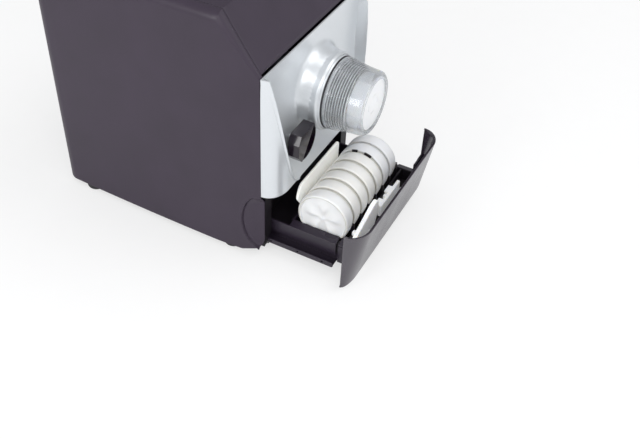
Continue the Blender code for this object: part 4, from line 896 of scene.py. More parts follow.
def panelFace(x, z, inset=0.0):
    # How far the face stands from the seam, forwards being negative.
    half = panel["corner"] - inset
    share = clamp((abs(x) - shell["seamHalf"] + panel["corner"]) / half)
    base = -(panel["bulge"] - inset) * math.sqrt(1 - share**2)
    inside = creaseX(z) - abs(x)
    edge = 0 if inset else creaseEdge(inside)
    if inside <= 0:
        return base - edge
    recess = panel["recess"] * (1 - math.exp((panel["base"] - z) / panel["recessRise"]))
    floor = max(base, -panel["bulge"] + recess + inset)
    blend = clamp(inside / recessRun(z))
    blend = blend * blend * (3 - 2 * blend)
    face = base + (floor - base) * blend - edge
    radius = math.hypot(x, z - shaftZ)
    if radius < sleeve["root"] and not inset:
        face = smoothMin(face, -sleeveHeight(radius), panel["soft"])
    return face


def panelColumns(z):
    half = shell["seamHalf"]
    flat = half - panel["corner"]
    crease = creaseX(z)
    inner = crease - recessRun(z)
    near = crease - min(0.0016, recessRun(z) * 0.8)
    far = min(half - 0.0004, crease + 0.0032)
    right = [inner * i / 44 for i in range(1, 45)]
    right += [inner + (near - inner) * i / 8 for i in range(1, 9)]
    right += [near + (far - near) * i / 16 for i in range(1, 17)]
    start = math.asin(clamp((far - flat) / panel["corner"])) if far > flat else (far - flat) / panel["corner"]
    for i in range(1, 21):
        turn = start + (math.pi / 2 - start) * i / 20
        right.append(min(half, flat + panel["corner"] * (math.sin(turn) if turn > 0 else turn)))
    return [-x for x in reversed(right)] + [0] + right


def makePanel():
    top = shell["seamTop"] - panel["topGap"]
    rows = 104
    heights = [panel["base"] + (top - panel["base"]) * i / rows for i in range(rows + 1)]
    outer = [[(x, seam - 0.0003 + panelFace(x, z), z) for x in panelColumns(z)] for z in heights]
    inner = []
    for row in outer:
        shrink = (shell["seamHalf"] - panel["wall"]) / shell["seamHalf"]
        inner.append([(x * shrink, min(seam - 0.0003, seam - 0.0003 + panelFace(x * shrink, z, panel["wall"])), z)
                      for x, y, z in row])
    mesh = wallOf("frontPanel", outer, inner)
    bore = turned("sleeveBore", [(0.0004, -0.060), (sleeve["bore"] + 0.0012, -0.060),
                                 (sleeve["bore"] + 0.0012, 0.020), (0.0004, 0.020)],
                  (0, seam, shaftZ), 96)
    mesh = fused("frontPanel", mesh, bore, operation="DIFFERENCE")
    front = sleeve["front"]
    profile = filleted([(sleeve["bore"], -front), (sleeve["radius"] - 0.0006, -front),
                        (sleeve["radius"] + 0.0009, -front + 0.0028),
                        (sleeve["radius"], -front + 0.0075), (sleeve["radius"], -0.0012),
                        (sleeve["bore"], -0.0012)], 0.0016, 6)
    ring = turned("sleeve", profile, (0, seam, shaftZ), 128)
    addPiece("frontPanel", joined("frontPanel", mesh, ring, sharp=30), finishes["silver"], "body",
             ("front_panel",))


makePanel()
print("front panel built")


# Nozzle: collar, barrel, clear nut and the disc inside it

nozzle = {
    "collarRadius": 0.0400,
    "collarBore": 0.0322,
    "collarFront": 0.0303,
    "collarBack": 0.0055,
    "sealRadius": 0.0384,
    "sealHalf": 0.0009,
    "threadPitch": 0.0028,
    "threadDepth": 0.0013,
    "threadSteps": 8,
    "threadStart": 0.0335,
    "threadEnd": 0.0550,
    "wallOut": 0.0392,
}


def threadShare(turn, run, start, end):
    # A rounded helical tooth, fading in and out at its ends.
    phase = (run - start) / nozzle["threadPitch"] + turn / (2 * math.pi)
    saw = abs((phase % 1) * 2 - 1)
    fade = clamp((run - start) / 0.0012) * clamp((end - run) / 0.0012)
    return saw * saw * (3 - 2 * saw) * fade


def makeCollar():
    axis = (0, seam, shaftZ)
    front, bore, radius = nozzle["collarFront"], nozzle["collarBore"], nozzle["collarRadius"]
    profile = filleted([(bore, -front), (radius - 0.0018, -front), (radius, -front + 0.0020),
                        (radius, nozzle["collarBack"]), (bore, nozzle["collarBack"])], 0.0012, 5)
    addPiece("collarRing", turned("collarRing", profile, axis, 128), finishes["silver"], "body",
             ("barrel_collar",))
    half = nozzle["sealHalf"]
    loop = [(nozzle["sealRadius"] + u, -front - 0.0001 + v) for u, v in circleOf(half, (0, 0), 12)]
    addPiece("sealRing", turned("sealRing", loop, axis, 128), finishes["rubber"], "body")


def makeBarrel():
    start, end = nozzle["threadStart"] - 0.0020, nozzle["threadEnd"]
    runs = [start + (end - start) * i / 80 for i in range(81)]
    crest = 0.0318
    profile = [(0.0215, 0.0490), (0.0215, -0.0492), (0.0268, -0.0550)]
    profile += [(crest, -run) for run in reversed(runs)]
    profile += [(crest, -0.0056), (0.0318, -0.0056), (0.0318, 0.0064), (0.0389, 0.0064),
                (0.0389, 0.0092), (0.0250, 0.0092), (0.0250, 0.0490)]

    def cutThread(turn, radius, run):
        if radius != crest or not start < -run < end:
            return 0
        return -nozzle["threadDepth"] * threadShare(turn, -run, start, end)

    mesh = turned("threadedBarrel", profile, (0, seam, shaftZ), 144, shift=cutThread, sharp=50)
    addPiece("threadedBarrel", mesh, finishes["thread"], "body", ("extrusion_barrel",))


def makeNut():
    back, front = 0.0312, 0.0733
    start, end = nozzle["threadStart"], nozzle["threadEnd"] - 0.0006
    runs = [start + (end - start) * i / 72 for i in range(73)]
    rootRadius = 0.0332
    profile = filleted([(0.0275, -front), (0.0318, -front), (0.0346, -front + 0.0032),
                        (0.0356, -0.0560), (nozzle["wallOut"], -back - 0.0014),
                        (nozzle["wallOut"] - 0.0008, -back), (0.0330, -back)], 0.0012, 5)
    profile = profile[6:]
    inner = [(rootRadius, -run) for run in runs]
    inner += [(0.0324, -0.0552), (0.0308, -0.0560), (0.0306, -0.0712), (0.0277, -0.0714)]

    def cutThread(turn, radius, run):
        if radius != rootRadius:
            return 0
        return -0.0007 * threadShare(turn, -run, start, end)

    whole = [(0.0275, -front + 0.0004), (0.0279, -front)] + profile + inner
    mesh = turned("clearNut", whole, (0, seam, shaftZ), 160, shift=cutThread, sharp=45)
    addPiece("clearNut", mesh, finishes["clear"], "nut", ("die_nut",))


fitted = {"back": 0.0555, "front": 0.0710, "radius": 0.0299, "slotHalf": 0.00035, "slotReach": 0.0075}


def makeFittedDie():
    radius, back, front = fitted["radius"], fitted["back"], fitted["front"]
    profile = filleted([(0.0001, -front), (radius, -front), (radius, -back), (0.0001, -back)], 0.0009, 4)
    mesh = turned("frostedDie", profile, (0, seam, shaftZ), 96)
    middle = -(front + back) / 2
    cuts = []
    for i in range(4):
        turn = math.pi / 2 * i
        centre = (0.0102 * math.cos(turn), 0.0102 * math.sin(turn))
        loop = turnedLoop(slotLoop(fitted["slotReach"], fitted["slotHalf"]), turn + math.pi / 2, centre)
        cuts.append(slab(f"dieSlot_{i}", [loop], 0.03, (0, seam + middle, shaftZ), edge=0.0001))
    mesh = fused("frostedDie", mesh, *cuts, operation="DIFFERENCE")
    addPiece("frostedDie", mesh, finishes["frost"], "die_seat", ("fitted_die",))


def slotLoop(length, half, steps=5):
    # A slot with round ends, lying along u.
    reach = length / 2 - half
    made = []
    for i in range(steps + 1):
        turn = -math.pi / 2 + math.pi * i / steps
        made.append((reach + half * math.cos(turn), half * math.sin(turn)))
    return made + [(-u, -v) for u, v in made]


def turnedLoop(loop, turn, centre=(0, 0)):
    c, s = math.cos(turn), math.sin(turn)
    return [(centre[0] + u * c - v * s, centre[1] + u * s + v * c) for u, v in loop]


makeCollar()
makeBarrel()
makeNut()
makeFittedDie()
print("nozzle built")


# Selector knob: one block, its far side cut back to a thin rim round a moat

def knobArc(radius, steps=40):
    turns = [knob["from"] + (knob["to"] - knob["from"]) * i / steps for i in range(steps + 1)]
    return [(radius * math.cos(turn), radius * math.sin(turn)) for turn in turns]


def beyondRidge(radius):
    # The part of the knob's disc on the far side of its ridge.
    top, low = (Vector(knob[end]) * knob["radius"] for end in ("ridgeTop", "ridgeLow"))
    along = (top - low).normalized()
    out = Vector((along.y, -along.x))
    inside = [p for p in knobArc(radius, 80) if (Vector(p) - low).dot(out) > 0.0004]
    return inside


def makeKnob():
    radius, back, front = knob["radius"], knob["back"], knob["front"]
    corners = [(radius * u, radius * v) for u, v in knob["corners"]]
    depth = front - back
    place = (knob["x"], seam - back - depth / 2, knob["z"])
    whole = slab("selectorKnob", [knobArc(radius) + corners], depth, place, edge=0.0003)
    step = knob["rimDrop"] + 0.004
    place = (knob["x"], seam - front + knob["rimDrop"] - step / 2, knob["z"])
    cut = slab("knobStep", [beyondRidge(radius * 1.2)], step, place, edge=0.0001)
    depth = knob["moat"] + 0.002
    place = (knob["x"], seam - front + knob["rimDrop"] + knob["moat"] - depth / 2, knob["z"])
    moat = slab("knobMoat", [beyondRidge(radius - knob["rim"])], depth, place, edge=0.0001)
    mesh = fused("selectorKnob", whole, cut, moat, operation="DIFFERENCE")
    mesh.set_sharp_from_angle(angle=math.radians(20))
    addPiece("selectorKnob", mesh, finishes["knob"], "selector", ("selector_knob",))


makeKnob()
print("knob built")


# Drawer: front, tray, rails

tray = {
    "half": 0.0800,
    "ridgeHalf": 0.0725,
    "innerHalf": 0.0705,
    "edgeZ": 0.0385,
    "ridgeZ": 0.0412,
    "floorZ": 0.0260,
    "under": 0.0230,
    "front": 0.1020,
    "rear": 0.0200,
    "gapFront": 0.0792,
    "gapRear": 0.0768,
    "crossWall": 0.0215,
    "legHalf": 0.0758,
    "stripOut": 0.0806,
    "stripFront": 0.0958,
    "stripLow": 0.0140,
    "stripHigh": 0.0366,
}
rail = {
    "root": 0.0754,
    "half": 0.0900,
    "lip": 0.0018,
    "low": 0.0126,
    "high": 0.0186,
    "floor": 0.0009,
    "front": 0.0790,
    "rear": 0.0190,
    "holes": (-0.003, -0.036, -0.066),
    "holeRadius": 0.0013,
}
skin = {
    "at": 0.0964,
    "low": 0.0060,
    "high": 0.0797,
    "leanLow": 0.0078,
    "leanHigh": 0.0210,
    "corner": 0.0240,
    "wall": 0.0026,
    "roll": 0.0008,
}


def sideWall(name, sign, near, far, inner, outer, low, high, slope=0.0, edge=0.0004):
    # A wall along the drawer's side, its top sloping up towards the inside.
    loop = [(sign * inner, low), (sign * outer, low), (sign * outer, high), (sign * inner, high + slope)]
    middle = (near + far) / 2
    return slab(name, [filleted(loop, 0.0005, 3)], far - near, (0, seam + middle, 0), edge=edge)


def makeTray():
    ledgeTop = tray["ridgeZ"] - tray["edgeZ"]
    shapes = []
    for sign in (-1, 1):
        # The ledge beside the discs, then a thin wall behind the cross wall.
        shapes.append(sideWall("trayLedge", sign, -tray["gapRear"], -tray["crossWall"] + 0.0016,
                               tray["innerHalf"], tray["half"], tray["under"], tray["edgeZ"], ledgeTop))
        shapes.append(sideWall("trayThinWall", sign, -tray["crossWall"] + 0.0010, tray["rear"],
                               tray["half"] - 0.0022, tray["half"], tray["under"], tray["edgeZ"]))
        shapes.append(sideWall("trayFrontLedge", sign, -tray["front"], -tray["gapFront"],
                               tray["innerHalf"], tray["half"] - 0.0006, tray["under"], tray["edgeZ"] - 0.0006,
                               ledgeTop))
        shapes.append(sideWall("trayStrip", sign, -tray["stripFront"], -tray["gapFront"] - 0.0004,
                               tray["half"] - 0.0020, tray["stripOut"], tray["stripLow"], tray["stripHigh"]))
        leg = sorted((sign * (tray["legHalf"] - 0.0022), sign * tray["legHalf"]))
        shapes.append(block("trayLeg", (leg[0], seam - tray["front"] + 0.0006, rail["low"] + 0.0004),
                            (leg[1], seam + tray["rear"] - 0.0006, tray["under"] + 0.0004), 0.0004))
        floor = sorted((sign * rail["root"], sign * (rail["half"] - rail["lip"] + 0.0003)))
        shapes.append(block("railFloor", (floor[0], seam - rail["front"] + 0.0010, rail["low"]),
                            (floor[1], seam + rail["rear"], rail["low"] + rail["floor"]), 0.0003))
        loop = filleted([(-rail["front"], rail["low"]), (rail["rear"], rail["low"]),
                         (rail["rear"], rail["high"]), (-rail["front"], rail["high"])], 0.0022, 5)
        height = (rail["low"] + rail["high"]) / 2
        holes = [circleOf(rail["holeRadius"], (y, height), 16) for y in rail["holes"]]
        place = (sign * (rail["half"] - rail["lip"] / 2), seam, 0)
        shapes.append(slab("railLip", [loop, *holes], rail["lip"], place, "YZ", 0.0005, 3))
    for near, far in ((-tray["front"], -tray["front"] + 0.0024), (-tray["crossWall"], -tray["crossWall"] + 0.0022)):
        shapes.append(block("trayCross", (-tray["innerHalf"] - 0.0004, seam + near, tray["floorZ"]),
                            (tray["innerHalf"] + 0.0004, seam + far, tray["ridgeZ"]), 0.0004))
    addPiece("drawerTray", joined("drawerTray", *shapes), finishes["drawer"], "drawer",
             ("drawer_tray",))


def makeShadedTrayInside():
    # Floor, linings, dividers and posts inside the tray, all in black: painted shade for the dark inside of the tray.
    half = tray["half"] - 0.0024
    inner = tray["innerHalf"] - 0.0001
    low, deep = tray["under"] - 0.0002, tray["floorZ"]
    ahead, back = seam - tray["front"] + 0.0026, seam + tray["rear"]
    shapes = [block("linerFloor", (-half, ahead, low), (half, back, deep), 0.0003)]
    for near, far, top in ((-0.0870, -0.0850, 0.0400), (-0.0195, -0.0175, tray["ridgeZ"] - 0.0010),
                           (tray["rear"] - 0.0024, tray["rear"] - 0.0002, tray["edgeZ"] - 0.0006)):
        shapes.append(block("linerWall", (-inner, seam + near, low), (inner, seam + far, top), 0.0004))
    for sign in (-1, 1):
        sides = sorted((sign * inner, sign * (inner - 0.0010)))
        shapes.append(block("linerSide", (sides[0], ahead, low), (sides[1], seam - 0.0185, tray["ridgeZ"] - 0.0008),
                            0.0003))
        # Painted shadow: black blocks filling the gap in the tray's ledge.
        sides = sorted((sign * (tray["innerHalf"] + 0.0010), sign * (tray["half"] - 0.0028)))
        shapes.append(block("ledgeGapShade", (sides[0], seam - tray["gapFront"] - 0.0004, low),
                            (sides[1], seam - tray["gapRear"] + 0.0004, tray["edgeZ"] - 0.0004), 0.0003))
    for i in range(7):
        x = -0.0532 + 0.0184 * i
        shapes.append(block("linerPost", (x - 0.0011, seam - 0.0852, low), (x + 0.0011, seam - 0.0786, 0.0498),
                            0.0004))
    addPiece("shadedTrayInside", joined("shadedTrayInside", *shapes), finishes["black"], "drawer")


def skinY(x, z):
    flat = shell["seamHalf"] - skin["corner"]
    rise = (z - skin["low"]) / (skin["high"] - skin["low"])
    lean = skin["leanLow"] + (skin["leanHigh"] - skin["leanLow"]) * rise
    return -skin["at"] - lean * math.sqrt(1 - clamp((abs(x) - flat) / skin["corner"]) ** 2)


def makeDrawerFront():
    half = shell["seamHalf"]
    flat = half - skin["corner"]
    corner = [flat + skin["corner"] * math.sin(math.pi / 2 * i / 20) for i in range(1, 21)]
    middle = [flat * (i / 16 - 1) for i in range(33)]
    columns = [-x for x in reversed(corner)] + middle + corner
    roll = skin["roll"]
    heights = [skin["low"] + roll * (1 - math.cos(math.pi / 2 * i / 4)) for i in range(4)]
    heights += [skin["low"] + roll + (skin["high"] - skin["low"] - 2 * roll) * i / 24 for i in range(25)]
    heights += [skin["high"] - roll * (1 - math.sin(math.pi / 2 * i / 4)) for i in range(1, 5)]
    rows = []
    for z in heights:
        near = min(z - skin["low"], skin["high"] - z)
        drop = roll * arcDrop(1 - near / roll)
        rows.append([(x, seam + skinY(x, z) + drop, z) for x in columns])
    mesh = meshOf("drawerFront", [point for row in rows for point in row], gridFaces(len(rows), len(columns)))
    piece = addPiece("drawerFront", mesh, finishes["front"], "drawer", ("drawer_front",))
    wall = piece.modifiers.new("wall", "SOLIDIFY")
    wall.thickness = skin["wall"]
    wall.offset = -1
    wall.use_quality_normals = True
    shapes = []
    for sign in (-1, 1):
        for low, high, near, far in ((0.0803, 0.1035, 0.0990, 0.0966), (0.0925, 0.1040, 0.0970, 0.0962)):
            sides = sorted((sign * low, sign * high))
            shapes.append(block("frontWeb", (sides[0], seam - near, 0.0232), (sides[1], seam - far, 0.0430),
                                0.0004))
        foot = sorted((sign * 0.0803, sign * 0.0925))
        shapes.append(block("webFoot", (foot[0], seam - 0.0970, 0.0232), (foot[1], seam - 0.0962, 0.0290),
                            0.0003))
        boss = filleted([(0.0021, -0.1068), (0.0040, -0.1068), (0.0040, -0.1024), (0.0021, -0.1024)], 0.0002)
        shapes.append(turned("frontBoss", boss, (sign * 0.040, seam, 0.034), 32))
    addPiece("frontWebs", joined("frontWebs", *shapes), finishes["drawer"], "drawer")


makeTray()
makeShadedTrayInside()
makeDrawerFront()
print("drawer built")


# Stored discs

disc = {
    "half": 0.0078,
    "radius": 0.0300,
    "frontRound": 0.0020,
    "backRun": 0.0078,
    "backDrop": 0.0020,
    "spigotRadius": 0.0278,
    "spigotBore": 0.0256,
    "spigot": 0.0025,
    "faceRadius": 0.0270,
    "recess": 0.0018,
    "webHalf": 0.0040,
    "petal": 0.0024,
    "petalAt": 0.0140,
    "petalHalf": 0.0075,
    "petalTurn": 0.3,
    "hub": 0.0014,
    "hubHalf": 0.0035,
}
discTones = ("pale", "ivory", "ivory", "ivory", "ivory", "cool", "cool")


def petalHeight(u, v):
    # Five soft lobes and a hub, raised on the first disc's face.
    radius = math.hypot(u, v)
    lobe = 0.5 + 0.5 * math.cos(5 * (math.atan2(v, u) - disc["petalTurn"]))
    petal = disc["petal"] * lobe**1.4 * math.exp(-(((radius - disc["petalAt"]) / disc["petalHalf"]) ** 2))
    edge = clamp((disc["faceRadius"] - 0.0008 - radius) / 0.003)
    return (petal + disc["hub"] * math.exp(-((radius / disc["hubHalf"]) ** 2))) * edge


def arcLoop(radius, half, start, sweep, steps=10):
    outer = [(radius + half, start + sweep * i / steps) for i in range(steps + 1)]
    inner = [(radius - half, start + sweep * i / steps) for i in range(steps, -1, -1)]
    return [(r * math.cos(turn), r * math.sin(turn)) for r, turn in outer + inner]


def holesRound(radius, count, size, start=0.0):
    turn = 2 * math.pi / count
    return [circleOf(size, (radius * math.cos(start + turn * i), radius * math.sin(start + turn * i)), 16)
            for i in range(count)]


def discPattern(kind):
    if kind == 0:
        return []
    if kind == 1:
        return holesRound(0.0186, 18, 0.0011) + holesRound(0.0102, 9, 0.0011)
    if kind == 2:
        return [turnedLoop(slotLoop(0.030, 0.0008), 0, (0, 0.0062 * (i - 1.5))) for i in range(4)]
    if kind == 3:
        return holesRound(0.0186, 8, 0.0017) + holesRound(0.0090, 4, 0.0017)
    if kind == 4:
        return [slotLoop(0.0360, 0.0008)]
    if kind == 5:
        return [arcLoop(0.0102, 0.0008, math.pi / 2 * i, math.pi / 3) for i in range(4)]
    return holesRound(0.0186, 9, 0.0017)


def discProfile(end, web):
    # A recessed face, a rim rounded at the front and more softly at the back, and a spigot behind it.
    half, radius = disc["half"], disc["radius"]
    turns = [math.pi / 2 * i / 8 for i in range(9)]
    bend = disc["frontRound"]
    front = [(radius - bend * (1 - math.sin(t)), -half + bend * (1 - math.cos(t))) for t in turns]
    run, drop = disc["backRun"], disc["backDrop"]
    back = [(radius - drop * (1 - math.cos(t)), half - run * (1 - math.sin(t))) for t in turns]
    inner = filleted([(disc["spigotRadius"], half), (disc["spigotRadius"], end), (disc["spigotBore"], end),
                      (disc["spigotBore"], disc["webHalf"]), (0.0001, disc["webHalf"]), (0.0001, web),
                      (disc["faceRadius"] - 0.0006, web), (disc["faceRadius"], -half)], 0.0005, 3)
    face = [(0.0007 * i, web) for i in range(1, 37)]
    return front + back + inner[:24] + face + inner[24:]


def makeDiscs():
    half, radius = disc["half"], disc["radius"]
    spigotEnd = half + disc["spigot"]
    for i, tone in enumerate(discTones):
        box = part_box(f"stored_die_{i + 1}")
        place = tuple((box[0] + box[1]) / 2)
        last = i == len(discTones) - 1
        end = half if last else spigotEnd
        web = -half + disc["recess"]
        body = turned(f"storedDisc_{i + 1}", discProfile(end, web), place, 112, "x", sharp=40)
        cuts = [slab(f"discCut_{i}_{j}", [loop], 0.020, place, "YZ", 0.0001)
                for j, loop in enumerate(discPattern(i))]
        if cuts:
            body = fused(f"storedDisc_{i + 1}", body, *cuts, operation="DIFFERENCE")
        else:
            for vertex in body.vertices:
                if abs(vertex.co.x - place[0] - web) < 0.0001:
                    vertex.co.x -= petalHeight(vertex.co.y - place[1], vertex.co.z - place[2])
        addPiece(f"storedDisc_{i + 1}", body, finishes[tone], "drawer",
                 (f"stored_die_{i + 1}",))


def makeDiscGapShade():
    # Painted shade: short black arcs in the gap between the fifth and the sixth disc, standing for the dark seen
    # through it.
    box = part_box("stored_die_6")
    centre = (box[0] + box[1]) / 2
    shapes = []
    for start, sweep in ((67, 13), (97, 17)):
        loop = arcLoop(0.0288, 0.0014, math.radians(start), math.radians(sweep))
        shapes.append(slab("discGapShadeArc", [loop], 0.0020, (box[0].x - 0.0011, centre.y, centre.z), "YZ", 0.0003))
    addPiece("discGapShade", joined("discGapShade", *shapes), finishes["black"], "drawer")


makeDiscs()
makeDiscGapShade()
print("stored discs built")


# Hood, rear cover and what stands on them

hood = {
    "lead": 0.0012,
    "openFront": 0.0494,
    "openRear": 0.1466,
    "openHalf": 0.0696,
    "rimGap": 0.0015,
    "cornerGap": 0.0015,
    "earX": 0.0340,
    "earWidth": 0.0060,
    "earHalf": 0.0045,
    "hingeY": 0.1600,
    "hingeZ": 0.2988,
    "deck": 0.2920,
}


def archLoop(y, z, half, low, steps=12):
    # Straight sides below, half a circle on top.
    turns = [math.pi * i / steps for i in range(steps + 1)]
    return [(y - half, low), (y + half, low)] + [(y + half * math.cos(t), z + half * math.sin(t)) for t in turns]


def makeHood():
    flat = shell["depth"] - shell["rearRound"]
    stations = [hood["lead"] + (shell["hoodRun"] - hood["lead"]) * i / 16 for i in range(17)]
    stations += [hood["openFront"]]
    stations += [hood["openFront"] + (hood["openRear"] - hood["openFront"]) * i / 6 for i in range(1, 7)]
    stations += [hood["openRear"] + (flat - hood["openRear"]) * i / 8 for i in range(1, 9)]
    stations += [flat + shell["rearRound"] * math.sin(math.pi / 2 * i / 10) for i in range(1, 11)]
    rows = []
    for y in stations:
        top = shellTop(y)
        share = clamp((y - flat) / shell["rearRound"])
        half = shellX(y, top) - shell["rim"] - 0.0003 - hood["cornerGap"] * share
        edge = hood["openHalf"]
        right = [edge * i / 6 for i in range(1, 7)]
        right += [edge + (half - 0.0006 - edge) * i / 6 for i in range(1, 7)]
        columns = [-half] + [-x for x in reversed(right)] + [0] + right + [half]
        rows.append([(x, seam + y, top - (0.0006 if abs(x) == half else 0)) for x in columns])
    across = len(rows[0])
    faces = []
    for i in range(len(rows) - 1):
        for j in range(across - 1):
            opening = hood["openFront"] <= stations[i] < hood["openRear"] - 0.0001
            inside = max(abs(rows[i][j][0]), abs(rows[i][j + 1][0])) < hood["openHalf"] + 0.0001
            corner = i * across + j
            if not (opening and inside):
                faces.append((corner, corner + 1, corner + across + 1, corner + across))
    points = [point for row in rows for point in row]
    used = sorted({index for face in faces for index in face})
    number = {index: i for i, index in enumerate(used)}
    mesh = meshOf("topHood", [points[i] for i in used], [tuple(number[i] for i in face) for face in faces], 40)
    piece = addPiece("topHood", mesh, finishes["shell"], "body", ("top_hood",))
    wall = piece.modifiers.new("wall", "SOLIDIFY")
    wall.thickness = shell["wall"]
    wall.offset = -1
    wall.use_quality_normals = True
    shapes = []
    for sign in (-1, 1):
        middle = sign * (hood["earX"] + hood["earWidth"] / 2)
        loops = [archLoop(seam + hood["hingeY"], hood["hingeZ"], hood["earHalf"], hood["deck"] - 0.0005),
                 circleOf(0.0023, (seam + hood["hingeY"], hood["hingeZ"]), 24)]
        shapes.append(slab("hoodEar", loops, hood["earWidth"], (middle, 0, 0), "YZ", 0.0005))
    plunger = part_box("lid_switch_plunger")
    middle = (plunger[0] + plunger[1]) / 2
    ring = filleted([(0.0034, 0.2921), (0.0056, 0.2921), (0.0052, 0.2929), (0.0036, 0.2929)], 0.0002)
    shapes.append(turned("plungerRing", ring, (middle.x, middle.y, 0), 48, "z"))
    addPiece("hoodFittings", joined("hoodFittings", *shapes), finishes["black"], "body")


rear = {
    "ventHalf": 0.0017,
    "ventLength": 0.050,
    "ventPitch": 0.012,
    "ventCount": 7,
    "ventZ": 0.130,
    "inletRadius": 0.0074,
    "screwRadius": 0.0034,
    "screwX": 0.078,
    "screwZ": (0.022, 0.262),
}


def makeRearCover():
    flat = shellTop(shell["depth"]) - shell["topRound"]
    heights = [0.0083 + (flat - 0.0083) * i / 6 for i in range(6)]
    heights += [flat + shell["topRound"] * math.sin(math.pi / 2 * i / 12) * 0.86 for i in range(11)]
    right = [(shellX(shell["depth"], z) - shell["rim"] - 0.0003, z) for z in heights]
    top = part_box("rear_cover")[1].z
    right = [(x, min(z, top)) for x, z in right]
    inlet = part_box("cord_inlet")
    hub = (inlet[0] + inlet[1]) / 2
    loops = [right + [(-x, z) for x, z in reversed(right)], circleOf(rear["inletRadius"], (hub.x, hub.z), 40)]
    for i in range(rear["ventCount"]):
        middle = rear["ventPitch"] * (i - (rear["ventCount"] - 1) / 2)
        loops.append(turnedLoop(slotLoop(rear["ventLength"], rear["ventHalf"]), math.pi / 2, (middle, rear["ventZ"])))
    place = (0, seam + shell["depth"] - shell["wall"] / 2, 0)
    mesh = slab("rearCover", loops, shell["wall"], place, edge=0.0006, steps=3)
    addPiece("rearCover", mesh, finishes["shell"], "body", ("rear_cover",))
    shapes = []
    for x in (-rear["screwX"], rear["screwX"]):
        for z in rear["screwZ"]:
            face = shell["depth"] - 0.0002
            radius = rear["screwRadius"]
            profile = filleted([(0.0010, face - 0.0010), (0.0010, face), (0.0018, face + 0.0002),
                                (radius, face), (radius, face - 0.0012), (0.0001, face - 0.0012),
                                (0.0001, face - 0.0010)], 0.0002)
            shapes.append(turned("coverScrew", profile, (x, seam, z), 32))
    addPiece("coverScrews", joined("coverScrews", *shapes), finishes["steel"], "body")


def makeInlet():
    # A flanged grommet with grip rings, its bore left open for the mains lead.
    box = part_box("cord_inlet")
    hub = (box[0] + box[1]) / 2
    back, front = box[1].y, box[0].y
    flange = back - 0.0030
    profile = [(0.0042, front), (0.0070, front), (0.0070, flange), (0.0105, flange), (0.0105, back - 0.0010),
               (0.0098, back), (0.0080, back), (0.0076, back - 0.0006), (0.0068, back - 0.0006),
               (0.0064, back), (0.0050, back), (0.0042, back - 0.0008)]
    mesh = turned("cordGrommet", filleted(profile, 0.0004, 3), (hub.x, 0, hub.z), 64)
    addPiece("cordGrommet", mesh, finishes["rubber"], "body", ("cord_inlet",))


def makeFeet():
    for side in ("left", "right"):
        for end in ("front", "rear"):
            name = f"foot_{end}_{side}"
            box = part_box(name)
            middle = (box[0] + box[1]) / 2
            radius = (box[1].x - box[0].x) / 2
            high = box[1].z
            profile = filleted([(0.0001, 0.0012), (radius * 0.45, 0.0012), (radius * 0.52, 0.0001),
                                (radius * 0.84, 0.0001), (radius * 0.93, high * 0.14), (radius, high * 0.36),
                                (radius, high), (0.0001, high)], 0.0006)
            mesh = turned(f"rubberFoot_{end}_{side}", profile, (middle.x, middle.y, 0), 64, "z")
            addPiece(f"rubberFoot_{end}_{side}", mesh, finishes["rubber"], "body", (name,))


makeHood()
makeRearCover()
makeInlet()
makeFeet()
print("hood, cover, grommet and feet built")


# Mixing bowl, lid and its switch

bowl = {
    "radius": 0.0660,
    "wall": 0.0030,
    "rimTop": 0.2945,
    "rimWall": 0.0022,
    "rim": 0.0070,
    "front": 0.0500,
    "rear": 0.1460,
    "frontHole": 0.0215,
    "rearHole": 0.0068,
}
lid = {
    "under": 0.2948,
    "wall": 0.0025,
    "half": 0.0745,
    "front": 0.0515,
    "rear": 0.1515,
    "corner": 0.0060,
    "skirtHalf": 0.0645,
    "skirtFront": 0.0545,
    "skirtRear": 0.1415,
    "drop": 0.0060,
    "slotHalf": 0.0240,
    "slotRun": 0.0060,
    "slotY": 0.0750,
    "handleHalf": 0.0160,
    "handleReach": 0.0070,
    "lugX": 0.0302,
    "lugWidth": 0.0070,
    "knuckle": 0.0048,
}


def troughLoop(radius, top, steps=48):
    turns = [math.pi * (i / steps - 0.5) for i in range(steps + 1)]
    low = [(radius * math.sin(t), -radius * math.cos(t)) for t in turns]
    return low + [(radius, top), (-radius, top)]


def makeBowl():
    length = bowl["rear"] - bowl["front"]
    middle = seam + (bowl["front"] + bowl["rear"]) / 2
    top = bowl["rimTop"] - shaftZ
    outerRadius = bowl["radius"] + bowl["wall"]
    outer = slab("mixingBowl", [troughLoop(outerRadius, top - 0.0004)], length, (0, middle, shaftZ), edge=0.0012)
    reach = outerRadius + bowl["rim"]
    loop = filleted([(-reach, -length / 2), (reach, -length / 2), (reach, length / 2 + bowl["rim"]),
                     (-reach, length / 2 + bowl["rim"])], 0.0040, 6)
    rim = slab("bowlRim", [loop], bowl["rimWall"], (0, middle, bowl["rimTop"] - bowl["rimWall"] / 2), "XY",
               0.0006)
    whole = fused("mixingBowl", outer, rim)
    hollow = slab("bowlHollow", [troughLoop(bowl["radius"], top + 0.004)], length - 2 * bowl["wall"],
                  (0, middle, shaftZ), edge=0.0024, steps=4)
    front = turned("bowlFrontHole", [(0.0001, bowl["front"] - 0.004), (bowl["frontHole"], bowl["front"] - 0.004),
                                     (bowl["frontHole"], bowl["front"] + 0.006), (0.0001, bowl["front"] + 0.006)],
                   (0, seam, shaftZ), 64)
    back = turned("bowlRearHole", [(0.0001, bowl["rear"] - 0.006), (bowl["rearHole"], bowl["rear"] - 0.006),
                                   (bowl["rearHole"], bowl["rear"] + 0.004), (0.0001, bowl["rear"] + 0.004)],
                  (0, seam, shaftZ), 48)
    whole = fused("mixingBowl", whole, hollow, front, back, operation="DIFFERENCE")
    addPiece("mixingBowl", whole, finishes["smoked"], "body", ("mixing_bowl",))


